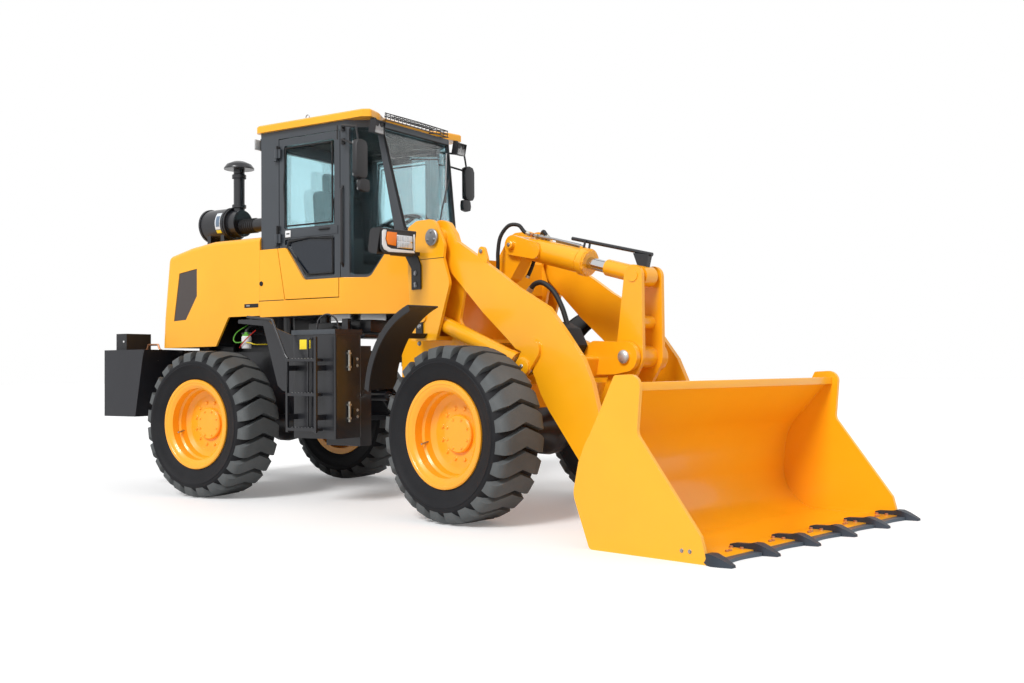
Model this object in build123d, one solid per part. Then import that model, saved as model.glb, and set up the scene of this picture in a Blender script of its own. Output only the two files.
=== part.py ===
from build123d import *
import math
import os

# An articulated wheel loader with a Z-bar linkage, in millimetres.
# The machine stands on z = 0 and faces +X, with +Y to its left. The rear half is
# drawn with x measured from the rear axle. The front half is drawn straight, with
# x measured from the articulation pin, and is then turned by REST_TURN about that
# pin. At the end everything is shifted so that the origin is the middle of the
# footprint's box, on the ground.

# ---- driving sizes -------------------------------------------------------------
WHEELBASE = 2798
TRACK = 1700
REST_TURN = 10.36            # degrees that the front half is turned to its right
ORIGIN = (1944, -369)        # middle of the footprint's box, from the rear axle
TYRE_R = 582
TYRE_W = 420
RIM_R = 353                  # outer edge of the rim flange
RIM_HALF = 180               # from the wheel's middle to the flange's outer face
LUGS = 24
SHOULDER = (105, 57)         # down the wall and across the tread
GROOVE = (24, 42)            # half the width and the depth of the gap between lugs
LUG_SLOPE = 17.7             # degrees that a lug leans from straight across
HUB_FACE = 44                # the hub cover and the disc round it, from the wheel's middle
DISC_FACE = 15
SPINDLE_R = 60
FIT = 0.1                    # radial play of a pin in its hole
GAP = 6                      # play between moving faces
PIVOT_X = WHEELBASE / 2
HALF_TRACK = TRACK / 2

# cab, x from the rear axle
CAB_REAR = 300
CAB_HALF = 600
CAB_CORNER_X = 1200          # where the side walls turn into the slanted corner panes
CAB_CORNER_SLOPE = 0.69
CAB_NOSE_X = 1720
FLOOR_Z = 1430
FLOOR_T = 40
CAB_WALL = 40
ROOF_Z = 2924
ROOF_T = 60
HEADER = 56                  # from the roof down to the panes' tops
SCREEN_FOOT = (1677, 1470)   # x, z on the windscreen's outer face
SCREEN_HEAD = (1411, ROOF_Z)
SKIN_T = 20
SKIN_TOP = 2010
GLASS_T = 8
GLASS_INSET = 12
DOOR_REAR = 502
DOOR_FRONT = 1140
DOOR_TOP = ROOF_Z - 74
DOOR_FOOT = 1567
DOOR_GAP = 7
DOOR_HINGE = (492, 622)      # x, and distance from the middle plane
DOOR_KNUCKLES = (2020, DOOR_TOP - 150)
PANE_TOP = DOOR_TOP - 55
UPPER_PANE = [(552, 2130, 20), (1085, 2130, 20), (1085, PANE_TOP, 20), (552, PANE_TOP, 20)]
LOWER_PANE = [(560, 2045, 15), (560, 1995, 15), (605, 1995, 30), (790, 1735, 30),
              (1085, 1735, 15), (1085, 2045, 15)]
CORNER_TOP = ROOF_Z - HEADER
CORNER_PANE = [(1222, 1735, 20), (1352, 1735, 50), (1512, 2035, 20), (1396, CORNER_TOP, 15),
               (1222, CORNER_TOP, 20)]
SCREEN = [(-312, 2012, 30), (312, 2012, 30), (422, CORNER_TOP, 30), (-422, CORNER_TOP, 30)]
REAR_TOP = ROOF_Z - 124
REAR_PANE = [(-430, 2160, 40), (430, 2160, 40), (430, REAR_TOP, 40), (-430, REAR_TOP, 40)]
WORK_LAMP = (1462, 536, ROOF_Z - 74)
SEAT_Z = 1860

# hood, counterweight, rear frame, x from the rear axle
HOOD_HALF = 620
HOOD_WALL = 18
HOOD_REAR = -876
HOOD_TOP = 2082
HOOD_FOOT = 1200
GRILLE = [(-725, 1428), (-574, 1436), (-438, 1634), (-438, 1865), (-656, 1835)]
GATE_HALF = 440              # half width of the radiator door in the hood's back
GATE_Z = (1375, 1850)
GATE_T = 16
GATE_HINGE = (HOOD_REAR - 32, 456)
GATE_KNUCKLES = (1420, 1700)
CW_REAR = -1290
CW_HALF = 900
CW_Z = (620, 1185)
TOW_DEPTH = 150
TOW_SET = 70
TOW_R = 22
TOW_Z = (760, 900)
TAIL_LAMP = (-1251, -1116, 541, 800, 1327)   # x, y and top of the housings on the counterweight
RAIL_HALF = 360              # outer face of the rear frame's side plates
PLATE_T = 25
RAIL_Z = (640, 1160)
RAIL_END = -1000
BULKHEAD_X = PIVOT_X - 549
SADDLE_Z = 840
ENGINE_HALF = 290
MOUNT_ROWS = (420, 820)      # x of the cab's rubber mounts
HOOD_FEET = (-640, -340)     # x of the brackets that carry the hood
AIR_Y = -280
AIR_X = (-635, -331)
AIR_Z = 2268
AIR_R = 139
AIR_PIPE = (150, 2240)       # x and z where the pipe turns down
STACK_X = -290
STACK_R = 47
STACK_TOP = 2738
STACK_CAP = [(0, 0), (128, 0), (128, 12), (104, 44), (50, 68), (0, 72)]
BOX_X = (980, 1400)
BOX_Y = (660, 950)
BOX_Z = (500, 1265)
LID_T = 40
INNER_BOX = (1050, 1385, 530, 430, 1185)
STEP_Y = (954, 1060)
STEP_Z = (560, 815, 1068)

# articulation and steering
YOKE_R = 110
PIN_R = 40
TONGUE_Z = (600, 1060)       # undersides of the rear half's two pin plates
TONGUE_T = 40
FORK_T = 30
FORK_PLAY = 3
STEER_REAR = (PIVOT_X - 449, 280)      # on the rear frame, x from the rear axle
STEER_FRONT = (275, 360)     # on the front frame, x from the articulation pin
STEER_Z = 800
STEER_PIN_R = 18
STEER_BARREL = 485
STEER_ROD = 465              # from the ram's inner end to its eye

# front frame and arms, x from the articulation pin
AXLE_X = PIVOT_X
ARM_Y = (500, 540)
TOWER_IN = (430, 455)
TOWER_OUT = (585, 610)
LIFT_PIVOT = (875, 1940)
LIFT_PIN_R = 38
LIFT_BASE = (770, 1373)
LIFT_EYE = (1685, 1022)
LIFT_BARREL = 885
LIFT_BORE = (70, 35)         # where the barrel's bore starts, and its radius
RAM_PIN_R = 30
TILT_BASE = (1165, 1900)
TILT_BARREL = 665
LEVEL_BAR = (1650, 1915, 2334, 1752)
LEVER_TOP = (2265, 1612)
LEVER_PIN = (2230, 1080)
LEVER_FOOT = (1950, 550)
LEVER_Y = (95, 125)
LEVER_PIN_R = 42
BUCKET_PIN = (2440, 250)
BUCKET_PIN_R = 35
LINK_PIN = (2560, 620)
LINK_HALF = 35
BRACKET_Y = (135, 175)
EAR = (1277, 1817, 32)       # round ear on top of each arm: x, z and radius
EAR_T = 24
FENDER_Y = (770, 1050)
FENDER_ARC = [(1093, 1438), (767, 1202), (641, 871)]
FENDER_T = 10
HEADLAMP = (715, 850, 745, 1075, 1798, 1980)

# bucket
BUCKET_HALF = 1146
BUCKET_PLATE = 20
BUCKET_SIDE = 25
BUCKET_BACK = 2640
BUCKET_ARC = 290
LIP = (3000, 905)
LIP_R = 70
EDGE_X = 3490
TOOTH_TIP = 3628
TOOTH_SPREAD = 1121
TOOTH_COUNT = 6


# ---- small helpers -------------------------------------------------------------
def shape(points):
    """A flat outline; a third number on a point rounds that corner."""
    face = make_face(Polyline(*[p[:2] for p in points], close=True))
    for p in points:
        if len(p) > 2:
            corner = face.vertices().sort_by_distance((p[0], p[1], 0))[0]
            face = fillet(corner, p[2])
    return face


def side(points, y0, y1):
    """An outline in x and z, as thick as y0 to y1."""
    return extrude(Pos(0, y0, 0) * Rot(90, 0, 0) * shape(points), y1 - y0, dir=(0, 1, 0))


def flat(points, z0, z1):
    """An outline in x and y, from z0 up to z1."""
    return extrude(Pos(0, 0, z0) * shape(points), z1 - z0, dir=(0, 0, 1))


def head_on(points, x0, x1):
    """An outline in y and z, from x0 to x1."""
    return extrude(Plane.YZ.offset(x0) * shape(points), x1 - x0, dir=(1, 0, 0))


def box(x0, x1, y0, y1, z0, z1):
    return Pos((x0 + x1) / 2, (y0 + y1) / 2, (z0 + z1) / 2) * Box(x1 - x0, y1 - y0, z1 - z0)


def rod(p, q, r):
    """A round bar from p to q."""
    along = Vector(*q) - Vector(*p)
    plane = Plane(origin=p, z_dir=along)
    return plane * Cylinder(r, along.length, align=(Align.CENTER, Align.CENTER, Align.MIN))


def across(centre, y0, y1, r):
    """A round bar along y, at centre = (x, z)."""
    return rod((centre[0], y0, centre[1]), (centre[0], y1, centre[1]), r)


def upright(x, y, z0, z1, r):
    return rod((x, y, z0), (x, y, z1), r)


def pair(part):
    """The part and its mirror image on the other side of the middle plane."""
    return part + mirror(part, about=Plane.XZ)


def bent(points, r, bend):
    """A round bar that follows points, its corners rounded to the radius bend."""
    path = FilletPolyline(*points, radius=bend)
    start = Plane(origin=points[0], z_dir=Vector(*points[1]) - Vector(*points[0]))
    return sweep(start * Circle(r), path=path)


def toward(a, b, reach, rise=0):
    """The point reach along the line from a to b, and rise above it."""
    turn = math.atan2(b[1] - a[1], b[0] - a[0])
    return (
        a[0] + reach * math.cos(turn) - rise * math.sin(turn),
        a[1] + reach * math.sin(turn) + rise * math.cos(turn),
    )


def strap(a, b, ra, rb, y0, y1):
    """A flat bar round two pins a and b, in x and z, as thick as y0 to y1."""
    turn = math.atan2(b[1] - a[1], b[0] - a[0])
    lean = math.acos((ra - rb) / math.dist(a, b))
    corners = [
        (c[0] + r * math.cos(turn + s * lean), c[1] + r * math.sin(turn + s * lean))
        for c, r, s in ((a, ra, 1), (b, rb, 1), (b, rb, -1), (a, ra, -1))
    ]
    return side(corners, y0, y1) + across(a, y0, y1, ra) + across(b, y0, y1, rb)


def bar(a, b, from_a, to_b, y, r):
    """A round bar along the line from a to b, between two distances from a."""
    p, q = toward(a, b, from_a), toward(a, b, to_b)
    return rod((p[0], y, p[1]), (q[0], y, q[1]), r)


def steer_bar(a, b, from_a, to_b, r):
    """The same for pins given as (x, y), lying at the steering cylinders' height."""
    p, q = toward(a, b, from_a), toward(a, b, to_b)
    return rod((*p, STEER_Z), (*q, STEER_Z), r)


# ---- wheels and axles ----------------------------------------------------------
WHEELS = {                   # name: half of the machine, side
    "rear_right": ("rear", -1),
    "rear_left": ("rear", 1),
    "front_right": ("front", -1),
    "front_left": ("front", 1),
}


def at_wheel(name, part):
    half, sign = WHEELS[name]
    x = 0 if half == "rear" else AXLE_X
    turned = part if sign > 0 else mirror(part, about=Plane.XZ)
    return Pos(x, sign * HALF_TRACK, TYRE_R) * turned


def tyre():
    """One flat face for each lug, a sloping shoulder, and a chevron groove between lugs."""
    half, turn = TYRE_W / 2, 360 / LUGS
    tread = RegularPolygon(TYRE_R, LUGS, major_radius=False, rotation=turn / 2)
    ring = Rot(90, 0, 0) * extrude(tread, half, both=True)
    for end in (0, -1):
        wall = ring.faces().sort_by(Axis.Y)[end]
        ring = chamfer(wall.outer_wire().edges(), *SHOULDER, reference=wall)
    ring -= across((0, 0), -half, half, RIM_R)
    wide, deep = GROOVE
    wedge = extrude(Plane.YZ.offset(-half) * shape([(-wide, deep), (wide, deep), (0, -deep)]), TYRE_W)
    wedge = Pos(TYRE_R, 0, 0) * Rot(LUG_SLOPE, 0, 0) * Rot(0, 0, 90) * wedge
    wedge &= box(0, 2 * TYRE_R, 0, half + 5, -half, half)
    turns = [Rot(0, turn * (i + 0.5), 0) for i in range(LUGS)]
    return ring - [one * cut for one in turns for cut in (wedge, mirror(wedge, about=Plane.XZ))]


def rim():
    """Deep dished rim with the planetary hub in its middle; +y is the outside."""
    bore = SPINDLE_R + FIT
    outline = shape([
        (0, HUB_FACE), (118, HUB_FACE), (126, HUB_FACE - 8), (126, DISC_FACE), (221, DISC_FACE),
        (262, 38), (270, 84), (284, 96), (284, 158), (316, RIM_HALF), (RIM_R, RIM_HALF),
        (RIM_R, -RIM_HALF), (300, -RIM_HALF), (300, 20), (250, 20), (221, DISC_FACE - 20),
        (165, DISC_FACE - 20), (165, -30), (bore, -30), (bore, HUB_FACE - 20), (0, HUB_FACE - 20),
    ])
    return revolve(outline, Axis.Y)


def axle(pad_y, pad_top, nose_end):
    """Housing with the differential in its middle, brakes and spindles at its ends."""
    end = HALF_TRACK + HUB_FACE - 20 - GAP
    brake = HALF_TRACK - 30 - 2 * GAP
    half = [(0, end), (SPINDLE_R, end), (SPINDLE_R, brake), (155, brake), (150, 600), (100, 560),
            (100, 210), (120, 160), (182, 70), (190, 0)]
    beam = revolve(shape(half + [(r, -y) for r, y in reversed(half[:-1])]), Axis.Y)
    nose = rod((0, 0, 0), (nose_end, 0, 0), 70)
    pads = pair(box(-110, 110, pad_y - 55, pad_y + 55, 0, pad_top - TYRE_R))
    return Pos(0, 0, TYRE_R) * (beam + nose + pads)


# ---- rear half -----------------------------------------------------------------
def rear_frame():
    inner = RAIL_HALF - PLATE_T
    low, high = RAIL_Z
    frame = pair(side([
        (RAIL_END, low + 60), (RAIL_END, high), (BULKHEAD_X, high), (BULKHEAD_X, low),
        (260, low), (180, SADDLE_Z, 40), (-180, SADDLE_Z, 40), (-260, low),
    ], inner, RAIL_HALF))
    frame += box(BULKHEAD_X, BULKHEAD_X + PLATE_T, -RAIL_HALF, RAIL_HALF, low - 60, high)
    frame += box(RAIL_END + 40, RAIL_END + 100, -inner, inner, low + 80, high - 40)
    frame += box(560, 620, -inner, inner, 900, 1000)
    root = BULKHEAD_X + PLATE_T - 10
    frame += pair(box(-640, -560, ENGINE_HALF, inner + 5, 900, 960))
    frame += pair(box(60, 140, ENGINE_HALF, inner + 5, 900, 960))
    waist = PIVOT_X - 279
    tongue = flat([(root, -280), (waist, -150), (PIVOT_X, -YOKE_R), (PIVOT_X, YOKE_R),
                   (waist, 150), (root, 280)], 0, TONGUE_T)
    tongue += upright(PIVOT_X, 0, 0, TONGUE_T, YOKE_R)
    for z0 in TONGUE_Z:
        frame += Pos(0, 0, z0) * tongue
    frame += side([(root, 620), (root, 1080), (PIVOT_X - 229, 1080), (PIVOT_X - 399, 850),
                   (PIVOT_X - 229, 620)], -12, 12)
    for z0 in (STEER_Z - 55, STEER_Z + 30):
        lug = box(root, STEER_REAR[0], -35, 35, z0, z0 + 25)
        lug += upright(STEER_REAR[0], 0, z0, z0 + 25, 35)
        frame += pair(Pos(0, STEER_REAR[1], 0) * lug)
    frame += pair(upright(*STEER_REAR, STEER_Z - 60, STEER_Z + 60, STEER_PIN_R))
    for x in MOUNT_ROWS:
        frame += pair(box(x - 60, x + 60, inner, RAIL_HALF + 110, high - 50, high - 25))
        frame += pair(upright(x, RAIL_HALF + 55, high - 30, FLOOR_Z, 45))
    for x in HOOD_FEET:
        foot = box(x - 60, x + 60, inner, HOOD_HALF - HOOD_WALL, HOOD_FOOT + 5, HOOD_FOOT + 30)
        frame += pair(foot + box(x - 60, x + 60, inner, RAIL_HALF, high, HOOD_FOOT + 30))
    beam = box(INNER_BOX[0], INNER_BOX[0] + 80, inner, INNER_BOX[2], high - 100, high - 50)
    frame += pair(beam + box(BULKHEAD_X, INNER_BOX[0] + 80, inner, RAIL_HALF, high - 100, high - 50))
    return frame - upright(PIVOT_X, 0, 400, 1300, PIN_R + FIT)


def counterweight():
    low, high = CW_Z
    slot = RAIL_HALF
    block = flat([
        (CW_REAR, -CW_HALF, 15), (-770, -CW_HALF, 20), (-770, -640), (-900, -slot - 20),
        (-900, slot + 20), (-770, 640), (-770, CW_HALF, 20), (CW_REAR, CW_HALF, 15),
    ], low, high)
    block -= box(RAIL_END - 5, -700, -slot, slot, low - 10, high + 10)
    block -= box(CW_REAR - 10, CW_REAR + TOW_DEPTH, -130, 130, *TOW_Z)
    block -= upright(CW_REAR + TOW_SET, 0, low - 10, high + 10, TOW_R)
    slope = side([(-700, low - 5), (-880, low - 5), (-770, high + 5), (-700, high + 5)],
                 420, CW_HALF + 10)
    return block - pair(slope)


def lamps():
    """Tail lamps on the counterweight, work lamps under the roof's four corners."""
    x0, x1, y0, y1, top = TAIL_LAMP
    tail = box(x0, x1, y0, y1, CW_Z[1], top)
    tail -= box(x0 - 10, x0 + 25, y0 + 18, y1 - 18, CW_Z[1] + 22, top - 18)
    x, y, z = WORK_LAMP
    head = Box(60, 118, 100) - Pos(27, 0, 0) * Box(20, 102, 84)
    for dy, dz in ((-26, -21), (26, -21), (-26, 21), (26, 21)):
        head += rod((12, dy, dz), (22, dy, dz), 18)
    head = Pos(x, y, z) * Rot(0, 12, 0) * head
    head += box(x - 50, x - 20, y - 15, y + 15, z + 30, ROOF_Z)
    back = box(CAB_REAR - 70, CAB_REAR, y - 115, y + 3, z - 50, z + 50)
    return pair(tail) + pair(head) + pair(back)


def rear_axle():
    return axle(RAIL_HALF - PLATE_T / 2, SADDLE_Z, 290)


def engine_block():
    return box(-760, 180, -ENGINE_HALF, ENGINE_HALF, 860, 1760)


def hood_profile(inset):
    """Side outline of the hood, set in by the sheet's thickness."""
    front = CAB_REAR + 3 * inset
    return [
        (HOOD_REAR + inset, HOOD_FOOT - 3 * inset), (HOOD_REAR + 14 + inset, 1450),
        (-800 + inset, 1985 - inset, 60 - inset), (-520, 2048 - inset, 300),
        (-250, HOOD_TOP - inset, 300), (front, HOOD_TOP + 3 - inset), (front, 1445 - inset),
        (-60, 1445 - 2 * inset, 30), (-208, HOOD_FOOT + 5 - 3 * inset),
    ]


def hood_form():
    form = side(hood_profile(0), -HOOD_HALF, HOOD_HALF)
    corners = [
        edge for edge in form.edges()
        if edge.center().X < HOOD_REAR + 80 and abs(edge.tangent_at(0.5).Z) > 0.9
    ]
    return fillet(corners, 45)


def hood():
    inside = HOOD_HALF - HOOD_WALL
    shell = hood_form() - side(hood_profile(HOOD_WALL), -inside, inside)
    shell -= pair(side(GRILLE, inside - 40, HOOD_HALF + 10))
    shell -= box(HOOD_REAR - 20, HOOD_REAR + 130, 30 - GATE_HALF, GATE_HALF - 30,
                 GATE_Z[0] + 30, GATE_Z[1] - 30)
    x, y = GATE_HINGE
    for z in GATE_KNUCKLES:
        ear = box(x - 10, HOOD_REAR + 60, y - 10, y + 10, z - 22, z - 3) - side(
            hood_profile(HOOD_WALL), -inside, inside)
        shell += ear + upright(x, y, z - 10, z + 60, 7)
    return shell


def hood_grilles():
    """Perforated panels in the hood's sides."""
    return pair(side(GRILLE, HOOD_HALF - HOOD_WALL, HOOD_HALF - 4))


def rear_gate():
    """Radiator door on the hood's back, hinged at its left edge."""
    leaf = side(hood_profile(-GAP - GATE_T), -GATE_HALF, GATE_HALF)
    leaf -= side(hood_profile(-GAP), -GATE_HALF - 5, GATE_HALF + 5)
    leaf &= box(HOOD_REAR - 40, HOOD_REAR + 130, -GATE_HALF, GATE_HALF, *GATE_Z)
    x, y = GATE_HINGE
    for z in GATE_KNUCKLES:
        knuckle = box(x, HOOD_REAR + 40, GATE_HALF - 30, y, z, z + 60)
        knuckle &= side(hood_profile(-GAP - GATE_T - 60), -900, 900) - side(hood_profile(-GAP), -900, 900)
        leaf += knuckle + upright(x, y, z, z + 60, 14)
        leaf -= upright(x, y, z - 30, z + 70, 7 + FIT)
    return leaf


def air_cleaner():
    body = rod((AIR_X[0], AIR_Y, AIR_Z), (AIR_X[1], AIR_Y, AIR_Z), AIR_R)
    body += rod((AIR_X[1], AIR_Y, AIR_Z), (AIR_X[1] + 90, AIR_Y, AIR_Z), AIR_R - 25)
    turn_x, turn_z = AIR_PIPE
    body += bent([(AIR_X[1] + 60, AIR_Y, turn_z), (turn_x, AIR_Y, turn_z), (turn_x, AIR_Y, HOOD_TOP - 60)], 58, 90)
    body += upright(STACK_X, AIR_Y, AIR_Z, STACK_TOP + 20, STACK_R)
    cap = revolve(shape(STACK_CAP), Axis.Y)
    body += Pos(STACK_X, AIR_Y, STACK_TOP) * Rot(90, 0, 0) * cap
    for x in (AIR_X[0] + 80, AIR_X[1] - 60):
        body += box(x - 20, x + 20, AIR_Y - 100, AIR_Y + 100, 1950, AIR_Z - AIR_R / 2)
    return body - side(hood_profile(0), -HOOD_HALF, HOOD_HALF)


# ---- cab -----------------------------------------------------------------------
def cab_form(inset, z0=FLOOR_Z, z1=ROOF_Z):
    """The cab's outer form, every wall set in by inset."""
    nose = CAB_HALF - CAB_CORNER_SLOPE * (CAB_NOSE_X - CAB_CORNER_X)
    half = [(CAB_REAR, CAB_HALF), (CAB_CORNER_X, CAB_HALF), (CAB_NOSE_X, nose)]
    plan = shape(half + [(x, -y) for x, y in reversed(half)])
    if inset:
        plan = offset(plan, -inset, kind=Kind.INTERSECTION)
    block = extrude(Pos(0, 0, z0) * plan, z1 - z0, dir=(0, 0, 1))
    (x0, low), (x1, high) = SCREEN_FOOT, SCREEN_HEAD
    lean = (x0 - x1) / (high - low)
    cut = inset * math.hypot(1, lean)
    near = [(x0 + lean * (low - z) - cut, z) for z in (z0 - 10, z1 + 10)]
    return block - side([near[0], (3000, z0 - 10), (3000, z1 + 10), near[1]], -900, 900)


def door_outline(grow):
    return [
        (DOOR_REAR - grow, DOOR_TOP + grow), (DOOR_REAR - grow, 1976), (580 - grow, DOOR_FOOT - grow),
        (DOOR_FRONT + grow, DOOR_FOOT - grow), (DOOR_FRONT + grow, DOOR_TOP + grow),
    ]


def screen_void():
    return head_on(SCREEN, 1340, 1800)


def cab_shell():
    shell = cab_form(0) - cab_form(CAB_WALL, FLOOR_Z + FLOOR_T, ROOF_Z + 1)
    shell -= pair(side(door_outline(DOOR_GAP), CAB_HALF - 100, CAB_HALF + 100))
    shell -= pair(side(CORNER_PANE, 300, CAB_HALF + 100))
    shell -= screen_void()
    shell -= head_on(REAR_PANE, CAB_REAR - 10, CAB_REAR + CAB_WALL + 10)
    x, y = DOOR_HINGE
    for z in DOOR_KNUCKLES:
        ear = box(x - 34, x + 8, CAB_HALF, y + 12, z - 22, z - 3)
        shell += pair(ear + upright(x, y, z - 10, z + 70, 8))
    return shell


def cladding_form():
    """Yellow skin round the foot of the cab, the doors' panels included."""
    ring = cab_form(-SKIN_T, FLOOR_Z + 2, SKIN_TOP) - cab_form(0, FLOOR_Z, SKIN_TOP + 10)
    keep = side([
        (CAB_REAR, FLOOR_Z + 2), (1800, FLOOR_Z + 2), (1800, SKIN_TOP), (1518, SKIN_TOP),
        (1362, 1712, 50), (780, 1712, 50), (592, 1976, 40), (CAB_REAR, 1976),
    ], -800, 800)
    return ring & keep


def cab_cladding():
    return cladding_form() - pair(side(door_outline(DOOR_GAP), CAB_HALF - 100, CAB_HALF + 100))


def cab_glass():
    sheet = cab_form(GLASS_INSET) - cab_form(GLASS_INSET + GLASS_T, FLOOR_Z - 5, ROOF_Z + 5)
    panes = sheet & pair(side(CORNER_PANE, 300, CAB_HALF + 100))
    panes += sheet & screen_void()
    return panes + (sheet & head_on(REAR_PANE, CAB_REAR, CAB_REAR + CAB_WALL))


def cab_roof():
    half = [(256, 632, 50), (1385, 632, 30), (1448, 592, 20), (1415, 450, 30), (1330, 290, 60)]
    outline = half + [(x, -y, r) for x, y, r in reversed(half)]
    roof = flat(outline, ROOF_Z, ROOF_Z + ROOF_T)
    return chamfer(roof.faces().sort_by(Axis.Z)[-1].edges(), 12)


def door_frame():
    frame = side(door_outline(0), CAB_HALF - CAB_WALL, CAB_HALF)
    for pane in (UPPER_PANE, LOWER_PANE):
        frame -= side(pane, CAB_HALF - 100, CAB_HALF + 100)
    x, y = DOOR_HINGE
    for z in DOOR_KNUCKLES:
        frame += box(x, DOOR_REAR + 30, CAB_HALF, y, z, z + 70) + upright(x, y, z, z + 70, 15)
        frame -= upright(x, y, z - 30, z + 80, 8 + FIT)
    return frame


def door_glass():
    y1 = CAB_HALF - GLASS_INSET
    return side(UPPER_PANE, y1 - GLASS_T, y1) + side(LOWER_PANE, y1 - GLASS_T, y1)


def door_panel():
    return cladding_form() & side(door_outline(0), CAB_HALF - 100, CAB_HALF + 100)


def seat():
    cushion = side([(560, SEAT_Z, 40), (1040, SEAT_Z, 40), (1050, 1965, 45), (560, 1945, 30)], -245, 245)
    back = side([(560, 1940), (690, 1940), (640, 2480, 40), (520, 2470, 40)], -235, 235)
    rest = side([(535, 2490, 20), (615, 2490, 20), (600, 2640, 30), (530, 2635, 30)], -130, 130)
    return cushion + back + rest + box(560, 600, -60, 60, 2460, 2500)


def controls():
    """Seat base, side consoles, dash, steering column and wheel."""
    top = FLOOR_Z + FLOOR_T
    base = box(620, 980, -200, 200, top, SEAT_Z)
    desks = pair(box(560, 1120, 300, 420, top, 2040))
    dash = side([(1400, top), (1640, top), (1640, 1960), (1440, 2020, 40), (1390, 1900)], -230, 230)
    column = rod((1420, 0, 1560), (1250, 0, 2110), 40)
    wheel = Torus(190, 16) + Cylinder(45, 50) + Box(370, 40, 16) + Box(40, 370, 16)
    return base + desks + (dash & cab_form(CAB_WALL)) + column + Pos(1240, 0, 2150) * Rot(0, -25, 0) * wheel


# ---- boxes, steps, rails -------------------------------------------------------
def side_boxes():
    """Tank on the right and battery box on the left, each with its inner box."""
    (x0, x1), (y0, y1), (z0, z1) = BOX_X, BOX_Y, BOX_Z
    tank = fillet(box(x0, x1, y0, y1, z0, z1).edges().filter_by(Axis.Z), 15)
    lid = box(x0 - 10, x1 + 6, y0 - 4, y1 + 4, z1, z1 + LID_T)
    inner_x0, inner_x1, inner_y, low, high = INNER_BOX
    return pair(tank + lid + box(inner_x0, inner_x1, inner_y, y0, low, high))


def steps():
    """Ladders beside the boxes, and the mudguard plates behind them."""
    y0, y1 = STEP_Y
    stiles = box(1008, 1028, y1 - 20, y1, 548, 1090) + box(1290, 1310, y1 - 20, y1, 548, 1250)
    for z in STEP_Z:
        stiles += box(1008, 1310, y0 + 30, y1, z, z + 22)
    for z in (640, 1000):
        stiles += box(1008, 1028, y0 - 4, y1 - 10, z, z + 40) + box(1290, 1310, y0 - 4, y1 - 10, z, z + 40)
    plate = side([(368, 1400), (368, 1372), (640, 1345), (790, 890), (840, 850), (BOX_X[0], 820),
                  (BOX_X[0], 1255), (760, 1330), (682, 1400)], y0 - 46, y0 - 34)
    plate += side([(682, 1400), (640, 1345), (790, 890), (830, 890)], y0 - 90, y0 - 34)
    return pair(stiles + plate)


def rails():
    """Handrails, and the mirrors on their arms."""
    y = STEP_Y[1] - 10
    hand = bent([(600, y, 1412), (876, y, 1412), (1018, y, 1130), (1018, y, 1090)], 11, 30)
    hand += rod((640, y, 1396), (640, STEP_Y[0] - 34, 1396), 10)
    top, high = ROOF_Z - 54, ROOF_Z - 504
    grab = bent([(1172, CAB_HALF, 1800), (1172, 650, 1800), (1172, 650, high), (1172, CAB_HALF, high)], 10, 30)
    arm = bent([(1180, CAB_HALF, top), (1180, 700, top), (1310, 790, top - 70), (1318, 790, top - 170)], 10, 30)
    glass = head_on([(700, top - 450, 25), (860, top - 450, 25), (860, top - 135, 25), (700, top - 135, 25)],
                    1296, 1340)
    lower = head_on([(640, top - 540, 25), (780, top - 540, 25), (780, top - 445, 25), (640, top - 445, 25)],
                    1300, 1336)
    return pair(hand) + pair(grab) + pair(arm + glass + lower)


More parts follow.
